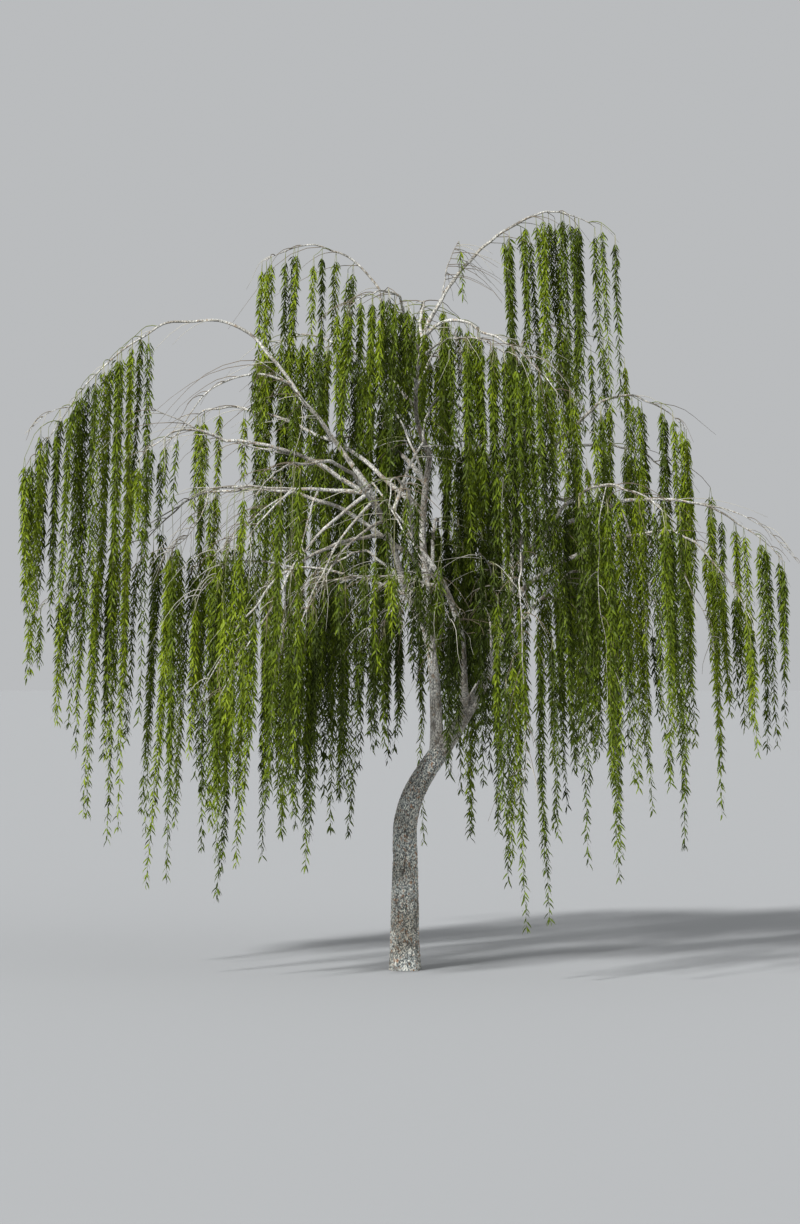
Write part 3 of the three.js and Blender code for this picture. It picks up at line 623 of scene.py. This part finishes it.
# Arms, withies and bare shoots
# Thin arms leave each stem to its left and right by turns and arch over. From the arms and the
# stem hang bunches of whippy withies, nearly to the hem, and bare shoots reach out past them.
REGIONS = {
    "top_left": ["top_left", "top_middle", "top_far_left"],
    "top_right": ["top_right", "top_front", "top_back", "top_far_right"],
    "left": ["left_shoulder", "left_front", "left_middle", "left_back", "low_left"],
    "right": ["right_shoulder", "right_back", "right_front", "far_right", "low_right"],
    "front": ["front", "front_left", "front_right"],
    "back": ["back", "back_left", "back_right"],
    "inner": ["inner_left", "inner_right", "inner_back"],
}
# How full some masses are beside the others, and heights above which some have few leaves
FULLNESS = {
    "top_left": 0.55, "top_right": 0.9, "top_front": 0.7, "top_back": 0.8, "top_far_right": 0.45,
    "left_shoulder": 0.8, "left_front": 0.25, "left_middle": 0.5, "left_back": 0.3, "low_left": 0.3,
    "right_shoulder": 0.6, "right_back": 0.5, "right_front": 0.6, "far_right": 0.65, "low_right": 0.55,
    "front": 0.7, "front_left": 0.6, "front_right": 0.4,
    "back": 0.85, "back_left": 0.85, "back_right": 0.7,
    "fan_long": 0.3, "fan_tip": 0.5, "fan_upper": 0.3, "fan_low": 0.3, "fan_inner": 0.4,
    "low_rear": 0.5, "left_low": 0.3, "down_left": 0.4, "left_whip": 0.5, "front_low": 0.5,
    "centre_low": 0.6, "front_veil": 0.8, "right_veil": 0.5, "low_veil": 0.4, "mid_veil": 0.6,
    "fork_veil": 0.4, "stem_veil": 0.3, "rear_fall": 0.5, "shoulder_fall": 0.4,
}
THIN_ABOVE = {"front_left": 4.1, "left_middle": 5.0, "inner_left": 4.1, "low_left": 3.4, "front": 4.7}


def turned(level, angle):
    """Level directions turned about the upright by an angle, anticlockwise from above."""
    x, y = level[..., 0], level[..., 1]
    east = x * np.cos(angle) - y * np.sin(angle)
    north = x * np.sin(angle) + y * np.cos(angle)
    return np.stack([east, north, 0 * north], axis=-1)


def vary(least_and_more, share):
    """A size out of a range: the pair gives its lower end and its width, and the share, from 0 to 1,
    how far up the size lies."""
    least, more = least_and_more
    return least + more * share


HEADING_STEP = 0.02  # shares of a limb before and after a place that give its direction there


def way_at(path, share):
    """A short stretch of a path, as a vector, at each of the given shares."""
    beyond = np.minimum(share + HEADING_STEP, 1)
    return along(path, beyond) - along(path, beyond - 2 * HEADING_STEP)


def heading_at(path, share):
    """The level direction of a path at the given shares."""
    return unit(way_at(path, share) * [1, 1, 0])


def steepness(path, share):
    """How steeply a path falls at the given shares: 0 where it is level or rises, 1 straight down."""
    return np.maximum(-unit(way_at(path, share))[:, 2], 0)


NO_WAY = 1e-6  # least share of a direction that counts as one


def room(start, heading):
    """How far one can go level from each start before leaving the box of the whole tree."""
    low, high = (np.array(corner)[:2] for corner in cad_box)
    way = np.where(np.abs(heading[:, :2]) < NO_WAY, NO_WAY, heading[:, :2])
    return (np.where(way > 0, high - start[:, :2], low - start[:, :2]) / way).min(axis=1)


KINK_TURN = 9  # by which a shoot's kinks go to and fro along it, in radians


def shoot_points(start, heading, length, u, hump, fall, kink, phase):
    """Points of thin shoots at shares u: out by length*u, up by hump*u(1-u), down by fall*u^2, and
    to either side by kink*u*sin(turn*u + phase), each as a share of the length."""
    across = np.stack([-heading[:, 1], heading[:, 0], 0 * length], -1)
    values = np.broadcast_arrays(length, hump, fall, kink, phase)
    length, hump, fall, kink, phase = (value[:, None] for value in values)
    out = (length * u)[..., None]
    height = (length * (hump * u * (1 - u) - fall * u**2))[..., None]
    aside = (length * kink * np.sin(KINK_TURN * u + phase) * u)[..., None]
    return start[:, None] + heading[:, None] * out + UP * height + across[:, None] * aside


WITHY_KEYS = ("start", "heading", "spread", "length", "drift", "lean", "phase")
SPREAD_BEND = (0.05, 2)  # length over which a withy spreads, and what its spread adds to it
SWAYS = [(0.022, 1.9, 6.28), (0.012, 4.7, 23)]  # size, radians to the metre, and shift


def withy_points(withies, t):
    """Points of hanging withies at shares t of their lengths: down by length*t, out by
    spread*(1 - exp(-down/bend)), along the drift by lean*down, and with two slow sways aside."""
    start, heading, spread, length, drift, lean, phase = (withies[key] for key in WITHY_KEYS)
    down = (length[:, None] * t)[..., None]
    spread, lean, phase = (value[:, None, None] for value in (spread, lean, phase))
    out = spread * (1 - np.exp(-down / vary(SPREAD_BEND, spread)))
    across = np.stack([-drift[:, 1], drift[:, 0], 0 * length], -1)[:, None]
    sway = sum(size * np.sin(pitch * down + shift * phase) for size, pitch, shift in SWAYS)
    sway = sway * np.minimum(down, 1)
    return start[:, None] + heading[:, None] * out + drift[:, None] * lean * down + across * sway - UP * down


SKIRT_FROM = 3.05  # distance off the axis x = SKIRT_X past which the hem rises by SKIRT_SLOPE
SKIRT_X = 0.2
SKIRT_HEIGHT = 0.55
SKIRT_SLOPE = 1.9


def skirt(points):
    """How low foliage may hang at points of the plan: level inside, and rising outwards."""
    out = np.hypot(points[..., 0] - SKIRT_X, points[..., 1])
    return SKIRT_HEIGHT + SKIRT_SLOPE * np.maximum(0, out - SKIRT_FROM)


LIMB_STEP = 6  # rings from one straight stretch of a limb to the next
limb_starts = np.concatenate([path[:-LIMB_STEP:LIMB_STEP] for path in paths.values()])
limb_ends = np.concatenate([path[LIMB_STEP::LIMB_STEP] for path in paths.values()])
limb_girths = np.concatenate([girths[name][:-LIMB_STEP:LIMB_STEP] for name in paths])


def limb_gap(points):
    """The distance from each point to the bark of the nearest limb, taken as straight stretches."""
    span = limb_ends - limb_starts
    off = points[:, None] - limb_starts
    share = np.clip((off * span).sum(-1) / (span * span).sum(-1), 0, 1)
    return (np.linalg.norm(off - share[..., None] * span, axis=-1) - limb_girths).min(axis=1)


CLEARANCE = 0.02  # between a withy and a limb
FIRST_STRETCH = 0.15  # of a withy, where it may lie on its own limb
WITHY_PROBES = 36
HEADINGS = 4  # ways that a withy may leave its bunch, of which it takes the one with most room
SHORTEST = 0.45


def free_length(withies):
    """How long each withy can be before it meets a limb, past its first stretch."""
    t = np.linspace(0, 1, WITHY_PROBES)
    points = withy_points(withies, t)
    gap = limb_gap(points.reshape(-1, 3)).reshape(points.shape[:2])
    blocked = (gap < CLEARANCE) & (withies["length"][:, None] * t > FIRST_STRETCH)
    first = np.where(blocked.any(1), blocked.argmax(1) - 1, WITHY_PROBES - 1)
    return withies["length"] * first / (WITHY_PROBES - 1)


def with_most_room(withies):
    """Each withy with the heading, of a few round its bunch, that lets it hang longest, cut off
    above any limb still in its way. Those that become too short are left out."""
    turns = [turned(withies["heading"], 2 * np.pi * k / HEADINGS) for k in range(HEADINGS)]
    lengths = np.array([free_length({**withies, "heading": heading}) for heading in turns])
    best = lengths.argmax(axis=0)
    n = np.arange(len(best))
    found = {**withies, "heading": np.array(turns)[best, n], "length": lengths[best, n]}
    keep = found["length"] > SHORTEST
    return {key: value[keep] for key, value in found.items()}


def shares_along(name, bare, pitch, least, place):
    """Evenly spaced shares of a limb past the share `bare`, as far apart as the pitch in a full
    mass and further apart in a thin one."""
    leafy_length = (1 - bare) * run_of(paths[name])[-1]
    i = np.arange(max(least, int(FULLNESS.get(name, 1) * leafy_length / pitch)))
    return bare + (1 - bare) * (i + place) / len(i)


ARM_PITCH = 0.17  # from one arm to the next along its limb
LEAST_ARMS = 2
ARM_PLACE = 0.45  # of an arm in its own stretch of the limb
ARM_TURN = 0.95  # between the stem and an arm in plan, in radians
ARM_TURNS = (0.6, 0.8)  # shares of that turn
ARM_LENGTHS = (0.4, 0.7)  # shares of the mass's spread
ARM_HUMP = 0.3
ARM_FALLS = (0.25, 0.8)
ARM_KINK = 0.07
ARM_PHASES = 40  # chance in where an arm's kinks begin, in radians
LEAST_SHOOT = 0.05  # least length of a shoot


def arms_of(name, bare, spread, seed):
    """The arms of one mass: the starts, headings and lengths that shoot_points takes, and its
    other values."""
    path = paths[name]
    share = shares_along(name, bare, ARM_PITCH, LEAST_ARMS, ARM_PLACE)
    i = np.arange(len(share))
    turn = np.where(i % 2, 1, -1) * ARM_TURN * vary(ARM_TURNS, chance(seed, i, 1))
    start = along(path, share)
    heading = turned(heading_at(path, share), turn)
    length = np.minimum(spread * vary(ARM_LENGTHS, chance(seed, i, 2)), room(start, heading))
    fall = vary(ARM_FALLS, steepness(path, share) ** 2)
    phase = ARM_PHASES * chance(seed, i, 3)
    habit = {"hump": ARM_HUMP, "fall": fall, "kink": ARM_KINK, "phase": phase}
    return (start, heading, np.maximum(length, LEAST_SHOOT)), habit


BUNCH_PLACES = (0.5, 1.0)  # shares of an arm where bunches hang
BUNCH_PITCH = 0.2  # from one bunch to the next along the stem itself
LEAST_BUNCHES = 1
BUNCH_PLACE = 0.95  # of a bunch in its own stretch of the stem


def bunches_of(name, bare, arms, habit):
    """The points that the bunches of one mass hang from: on its arms, and on the stem itself."""
    on_arms = shoot_points(*arms, np.array(BUNCH_PLACES), **habit)
    share = shares_along(name, bare, BUNCH_PITCH, LEAST_BUNCHES, BUNCH_PLACE)
    return np.concatenate([*on_arms.swapaxes(0, 1), along(paths[name], share)])


FULL_TURN = 6.28  # in radians, near enough
BUNCH = 2  # withies in a bunch
BUNCH_HALF = 0.024  # how far they stray from its middle
BUNCH_HALVES = (0.4, 0.6)  # shares of that distance
SHORTER = (0.12, 0.4)  # share by which the second is shorter than the first
SECOND_PHASE = 0.1
RAGGED = 1.7  # how far above the hem most bunches end, while a few reach down to it
RAGGED_SHARES = (0.7, 0.6)
RAGGED_POWER = 3  # the higher, the fewer reach down
RAGGED_DROP = 4  # drop to the hem past which a bunch is as ragged as any
LEAN = 0.045  # outward lean of a bunch, as a share of its length
LEANS = (0.2, 1.6)  # shares of that lean
LEAN_TURN = 0.8  # between the leans furthest to either side of straight outwards, in radians
TREE_TOP = 9  # for masses that THIN_ABOVE doesn't name, so that none of their bunches is thinned
THINNED_FROM = 0.8  # how far above that height bunches are left out
THINNING = 0.62  # share of those bunches
STRAYS = 0.15  # share of the rest that have leaves from the top all the same
THIN_POWER = 5  # the higher, the more of the others start their leaves at that height
BARE_TOP = 0.1  # stretch of a withy without leaves


def withies_of(name, bunches, hem, seed):
    """The withies of one mass. Of each, `bare` metres have no leaves, and the second withy of a
    bunch forks off the first where its leaves begin."""
    middle = np.repeat(bunches, BUNCH, axis=0)
    n = np.arange(len(middle))
    bunch, member = n // BUNCH, n % BUNCH
    heading = turned(np.array([[1.0, 0, 0]]), FULL_TURN * chance(seed, bunch, 5) + np.pi * member)
    drift = unit(np.concatenate([middle[:, :2] - [SKIRT_X, 0], np.zeros((len(n), 1))], axis=1))
    drift = turned(drift, LEAN_TURN * (chance(seed, bunch, 10) - 0.5))
    lowest = np.maximum(hem, skirt(middle))
    above = 1 - chance(seed, bunch, 4) ** RAGGED_POWER
    above = above * vary(RAGGED_SHARES, chance(seed, bunch, 14))
    foot = lowest + RAGGED * above * np.minimum(1, (middle[:, 2] - lowest) / RAGGED_DROP)
    length = np.maximum(middle[:, 2] - foot, LEAST_SHOOT)
    lean = np.minimum(LEAN * vary(LEANS, chance(seed, bunch, 7)), room(middle, drift) / length)

    thin_above = THIN_ABOVE.get(name, TREE_TOP)
    thin = 1 - chance(seed, bunch, 11) ** THIN_POWER
    thin = np.where(chance(seed, bunch, 13) < STRAYS, 0, thin)
    bare = BARE_TOP + thin * np.maximum(middle[:, 2] - thin_above, 0)
    fork = np.where(member > 0, np.minimum(bare - BARE_TOP, length), 0)
    shorter = 1 - member * vary(SHORTER, chance(seed, n, 8))
    withies = {
        "start": middle + drift * (lean * fork)[:, None] - UP * fork[:, None],
        "heading": heading,
        "spread": BUNCH_HALF * vary(BUNCH_HALVES, chance(seed, n, 6)),
        "length": (length - fork) * shorter,
        "drift": drift,
        "lean": lean,
        "phase": chance(seed, bunch, 9) + SECOND_PHASE * member,
        "bunch": bunch,
        "bare": bare - fork,
    }
    thinned = (middle[:, 2] > thin_above + THINNED_FROM) & (chance(seed, bunch, 12) < THINNING)
    return with_most_room({key: value[~thinned] for key, value in withies.items()})


SPRIGS = 7
SPRIG_RINGS = 7
SPRIGS_FROM = 0.3  # share of the limb where they start
SPRIGS_ALONG = 0.68  # share of the limb that has them
SPRIG_TURNS = (0.2, 0.7)
SPRIG_LENGTHS = (0.45, 0.9)
SPRIG_SHORTENING = 0.65  # share of the length that is lost where the limb is steep
SPRIG_HUMP = 0.12
SPRIG_FALLS = (0.1, 0.6)
SPRIG_DROOP = 1.2  # what steepness adds to the fall
SPRIG_KINK = 0.04
SPRIG_PHASES = 9  # from one sprig to the next, in radians


def sprigs_of(name, seed):
    """Bare shoots of one limb as paths: thin and nearly straight, forward and out to either side,
    with a slight hump and a fall that grows towards the tip."""
    path = paths[name]
    i = np.arange(SPRIGS)
    share = SPRIGS_FROM + SPRIGS_ALONG * (i + chance(seed, i, 21)) / SPRIGS
    start = along(path, share)
    turn = np.where(i % 2, 1, -1) * vary(SPRIG_TURNS, chance(seed, i, 22))
    heading = turned(heading_at(path, share), turn)
    length = np.minimum(vary(SPRIG_LENGTHS, chance(seed, i, 23) ** 2), room(start, heading))
    steep = steepness(path, share)
    length = np.maximum(length * (1 - SPRIG_SHORTENING * steep), LEAST_SHOOT)
    fall = vary(SPRIG_FALLS, chance(seed, i, 24)) + SPRIG_DROOP * steep**2
    u = np.linspace(0, 1, SPRIG_RINGS)
    return shoot_points(start, heading, length, u, SPRIG_HUMP, fall, SPRIG_KINK, SPRIG_PHASES * i)


def taper(radii, count, rings, sides):
    """Radii of many thin shoots, which narrow evenly from root to tip."""
    line = np.linspace(*radii, rings)
    return np.broadcast_to(line[None, :, None], (count, rings, sides))


def plain(name, colour, roughness, gloss=GLOSS):
    """A finish of one plain colour."""
    material, _, surface = shader(name, roughness, gloss)
    surface.inputs["Base Color"].default_value = (*colour, 1)
    return material


ASIDE = [0.01, 0, 0]  # keeps the side of an upright shoot from being nothing


def shoots_of(lines, seed, radii, sides, tints):
    """The points, triangles and tints of thin shoots that run along the given lines."""
    side = unit(np.cross(lines[:, -1] - lines[:, 0] + ASIDE, UP))
    points, faces = tubes(lines, taper(radii, *lines.shape[:2], sides), side)
    shoot = np.repeat(np.arange(len(lines)), len(faces) // len(lines))
    return points, faces, np.array(tints)[(len(tints) * chance(seed, shoot, 31)).astype(int)]


ARM_RINGS = 7
WITHY_RINGS = 13
FIRST_SPRIGS = 60  # number of the first lesser limb, for its sprigs
TWIG_ROUGHNESS = 0.6
TWIG_COLOURS = {
    "silver": (0.42, 0.40, 0.34),
    "straw": (0.26, 0.25, 0.13),
    "olive": (0.15, 0.17, 0.06),
    "brown": (0.14, 0.11, 0.075),
}
SILVER, STRAW, OLIVE, BROWN = range(len(TWIG_COLOURS))
# radii at root and tip, sides, and the colours that are dealt out
ARM_MAKE = ((0.006, 0.003), 4, [OLIVE, BROWN])
WITHY_MAKE = ((0.003, 0.0014), 3, [STRAW, OLIVE, OLIVE])
SPRIG_MAKE = ((0.0052, 0.0016), 3, [SILVER, BROWN])
twig_finishes = [
    plain(f"twig_{name}", colour, TWIG_ROUGHNESS) for name, colour in TWIG_COLOURS.items()
]
growth = {name: (leafy_from[name], spread, hem) for name, (*_, spread, hem, _) in BOUGHS.items()}
growth.update({name: row[1:] for name, row in VEILS.items()})
masses = {}
for seed, (name, (bare, spread, hem)) in enumerate(growth.items(), start=1):
    arms, habit = arms_of(name, bare, spread, seed)
    bunches = bunches_of(name, bare, arms, habit)
    masses[name] = (seed, arms, habit, withies_of(name, bunches, hem, seed))
hanging = {
    region: names + [veil for veil, row in VEILS.items() if row[0] == region]
    for region, names in REGIONS.items()
}
for region, names in hanging.items():
    parts = []
    for name in names:
        seed, arms, habit, withies = masses[name]
        arm_lines = shoot_points(*arms, np.linspace(0, 1, ARM_RINGS), **habit)
        withy_lines = withy_points(withies, np.linspace(0, 1, WITHY_RINGS))
        parts.append(shoots_of(arm_lines, seed, *ARM_MAKE))
        parts.append(shoots_of(withy_lines, seed, *WITHY_MAKE))
        parts.append(shoots_of(sprigs_of(name, seed), seed, *SPRIG_MAKE))
    if region == "left":
        for seed, name in enumerate(LESSER_LIMBS, start=FIRST_SPRIGS):
            parts.append(shoots_of(sprigs_of(name, seed), seed, *SPRIG_MAKE))
    points, faces, tint = gathered(parts)
    twigs = piece_of(f"twigs_{region}", points, faces, twig_finishes, choice=tint)
    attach(twigs, "root")
    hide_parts(*[f"foliage_{name}" for name in REGIONS[region]])

# Leaves
# Long, narrow leaves stand all round each withy and point downwards. They grow closest together at
# its top and gather in whorls towards its tip. Sprays of a few leaves have one of five greens, and
# the leaves in the middle of the crown are given darker greens as painted shade.
LEAF_LENGTH = 0.106
LEAF_WIDTH = 0.02
LEAF_SIZES = (0.74, 0.38)  # shares of the full length and width
LEAF_PITCH = 0.0138
LEAF_PLACE = 0.6  # of a leaf in its own stretch of the withy
LEAF_SPACING = (0.84, 0.16)  # beside even spacing, at the withy's top and added towards its tip
SPACING_POWER = 3
LEAF_SPLAY = 0.68  # angle between a leaf and its withy, in radians
LEAF_SPLAYS = (0.7, 0.55)  # shares of that angle
LEAF_ROLL = 1.2  # how far a leaf may be turned about its own midrib, in radians
WHORL_PITCH = 0.19
WHORL_PULL = (0.1, 0.8)  # how strongly leaves gather, at the withy's top and added towards its tip
PULL_POWER = 4
SHORT_WAY = 0.01  # share of a withy before and after a leaf that gives its direction there
GOLDEN_ANGLE = 2.39996
SPRAY = 4  # leaves that share a tint
BUNCH_TINTS = 2.7  # how many greens darker one bunch may be than another, and one spray in it
SPRAY_TINTS = 2.2
BRIGHTER = 0.6  # greens by which all are brighter
PAINTED_SHADE_TINTS = 2.2  # how many greens darker the leaves in the middle of the crown are painted, as shade
CROWN_MIDDLE = 4.0  # height of the crown's middle
CROWN_HALVES = np.array([4.4, 3.3, 4.9])  # from its middle to its sides, to its front and to its top
MIDDLE_SHADE = 1.25  # painted shade in the middle, before values over 1 are cut to 1
OUTWARD_LOSS = 1.5  # of painted shade from the middle to the outside
# along and across the leaf and off its face, as shares of its length, width and length
LEAF_OUTLINE = np.array([
    (0, 0, 0), (0.3, 0.5, 0.02), (0.3, -0.5, 0.02),
    (0.66, 0.36, -0.02), (0.66, -0.36, -0.02), (1, 0, -0.17),
])
LEAF_FACES = np.array([(0, 2, 1), (1, 2, 3), (3, 2, 4), (3, 4, 5)])
LEAF_ROUGHNESS = 0.55
LEAF_GLOSS = 0.12
LEAF_GREENS = {
    "bright": (0.150, 0.198, 0.007),
    "fresh": (0.100, 0.140, 0.005),
    "green": (0.062, 0.091, 0.004),
    "olive": (0.038, 0.057, 0.003),
    "deep": (0.020, 0.031, 0.002),
}


def painted_shade_in_crown(points):
    """Painted shade: 0 in the outer part of the crown, and up to 1 in its middle, which the light
    hardly reaches.
    """
    offset = (points - [SKIRT_X, 0, CROWN_MIDDLE]) / CROWN_HALVES
    offset[:, 2] = np.maximum(offset[:, 2], 0)
    return np.clip(MIDDLE_SHADE - OUTWARD_LOSS * np.linalg.norm(offset, axis=1), 0, 1)


def leaf_bodies(withies, seed):
    """The points, triangles and tints of the leaves of one mass. A leaf's own axes are its
    heading, tilted off the withy, the direction across it and the normal of its upper face."""
    leafy = np.maximum(withies["length"] - withies["bare"], 0)
    number = (leafy / LEAF_PITCH).astype(int)
    owner = np.repeat(np.arange(len(number)), number)
    order = np.arange(len(owner)) - np.repeat(np.cumsum(number) - number, number)
    own = {key: value[owner] for key, value in withies.items()}
    share = (order + LEAF_PLACE) / number[owner]
    run = leafy[owner] * share * vary(LEAF_SPACING, share**SPACING_POWER)
    whorl = 2 * np.pi * (run / WHORL_PITCH + chance(seed, owner, 46))
    run = run - vary(WHORL_PULL, share**PULL_POWER) * WHORL_PITCH / (2 * np.pi) * np.sin(whorl)
    t = np.clip((own["bare"] + run) / own["length"], 0, 1)[:, None]
    root = withy_points(own, t)[:, 0]
    down = unit(withy_points(own, t + SHORT_WAY)[:, 0] - withy_points(own, t - SHORT_WAY)[:, 0])

    angle = GOLDEN_ANGLE * order + FULL_TURN * chance(seed, owner, 41)
    level = unit(np.stack([-own["drift"][:, 1], own["drift"][:, 0], 0 * angle], -1))
    other = np.cross(down, level)
    side = np.cos(angle)[:, None] * level + np.sin(angle)[:, None] * other
    splay = LEAF_SPLAY * vary(LEAF_SPLAYS, chance(seed, owner + 7 * order, 42))[:, None]
    heading = np.cos(splay) * down + np.sin(splay) * side
    flat_normal = np.cos(splay) * side - np.sin(splay) * down
    flat_across = np.cross(heading, flat_normal)
    roll = (2 * LEAF_ROLL * (chance(seed, owner + 3 * order, 43) - 0.5))[:, None]
    across = np.cos(roll) * flat_across + np.sin(roll) * flat_normal
    normal = np.cos(roll) * flat_normal - np.sin(roll) * flat_across

    size = vary(LEAF_SIZES, chance(seed, owner + 5 * order, 44))[:, None, None]
    x, y, z = (LEAF_OUTLINE[:, k][None, :, None] for k in range(3))
    points = root[:, None] + size * (
        LEAF_LENGTH * (x * heading[:, None] + z * normal[:, None]) + LEAF_WIDTH * y * across[:, None]
    )
    faces = LEAF_FACES + len(LEAF_OUTLINE) * np.arange(len(owner))[:, None, None]
    bunch_tint = BUNCH_TINTS * chance(seed, own["bunch"], 47)
    spray_tint = SPRAY_TINTS * chance(seed, owner + 11 * (order // SPRAY), 45)
    # Leaves in the middle of the crown are painted darker greens, as shade.
    tint = bunch_tint + spray_tint - BRIGHTER + PAINTED_SHADE_TINTS * painted_shade_in_crown(root)
    tint = np.clip(tint, 0, len(LEAF_GREENS) - 1)
    return points.reshape(-1, 3), faces.reshape(-1, 3), np.repeat(tint.astype(int), len(LEAF_FACES))


leaf_finishes = [
    plain(f"leaf_{name}", green, LEAF_ROUGHNESS, LEAF_GLOSS) for name, green in LEAF_GREENS.items()
]
for region, names in hanging.items():
    parts = []
    for name in names:
        seed, _, _, withies = masses[name]
        parts.append(leaf_bodies(withies, seed))
    points, faces, tint = gathered(parts)
    leaves = piece_of(f"leaves_{region}", points, faces, leaf_finishes, choice=tint, smooth=False)
    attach(leaves, "root")
    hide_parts(*[f"foliage_{name}" for name in REGIONS[region]])

# Floor, light and camera
# A plain pale floor under soft studio light: a wide key lamp high on the left at the front, a fill
# from the right and a pale surround. The camera stands far off, level and square to the front.
FLOOR_HALF = 160.0
CAMERA_AWAY = 45.0
CAMERA_HEIGHT = 4.22
CAMERA_X = -0.059
VIEW_HEIGHT = 14.44  # what the camera's long side takes in at the tree
SIGHT = 400.0  # how far the camera sees
FLOOR_DROP = 0.002  # of the floor under the tree's foot
FLOOR_GREY = (0.305, 0.311, 0.317)
FLOOR_ROUGHNESS = 0.95
SKY = (0.86, 0.88, 0.90)
SKY_STRENGTH = 0.57
corners = FLOOR_HALF * np.array([(-1, -1, 0), (1, -1, 0), (1, 1, 0), (-1, 1, 0)]) - UP * FLOOR_DROP
pale_floor = plain("pale_floor", FLOOR_GREY, FLOOR_ROUGHNESS)
floor = piece_of("floor", corners, np.array([(0, 1, 2), (0, 2, 3)]), [pale_floor])

world = bpy.data.worlds.new("surround")
bpy.context.scene.world = world
world.use_nodes = True
backdrop = world.node_tree.nodes["Background"]
backdrop.inputs["Color"].default_value = (*SKY, 1)
backdrop.inputs["Strength"].default_value = SKY_STRENGTH
bpy.context.scene.view_settings.view_transform = "Standard"


def lamp(name, strength, softness, tilt, turn):
    """A distant lamp of the given width, tilted off the upright and turned about it, in degrees."""
    data = bpy.data.lights.new(name, "SUN")
    data.energy = strength
    data.angle = np.radians(softness)
    light = bpy.data.objects.new(name, data)
    light.rotation_euler = (np.radians(tilt), 0, np.radians(turn))
    bpy.context.scene.collection.objects.link(light)


lamp("key", strength=5.2, softness=6, tilt=52, turn=-38)
lamp("fill", strength=0.6, softness=60, tilt=62, turn=50)

lens = bpy.data.cameras.new("camera")
lens.lens = lens.sensor_width * CAMERA_AWAY / VIEW_HEIGHT
lens.clip_end = SIGHT
camera = bpy.data.objects.new("camera", lens)
camera.location = (CAMERA_X, -CAMERA_AWAY, CAMERA_HEIGHT)
camera.rotation_euler = (np.pi / 2, 0, 0)
bpy.context.scene.collection.objects.link(camera)
bpy.context.scene.camera = camera
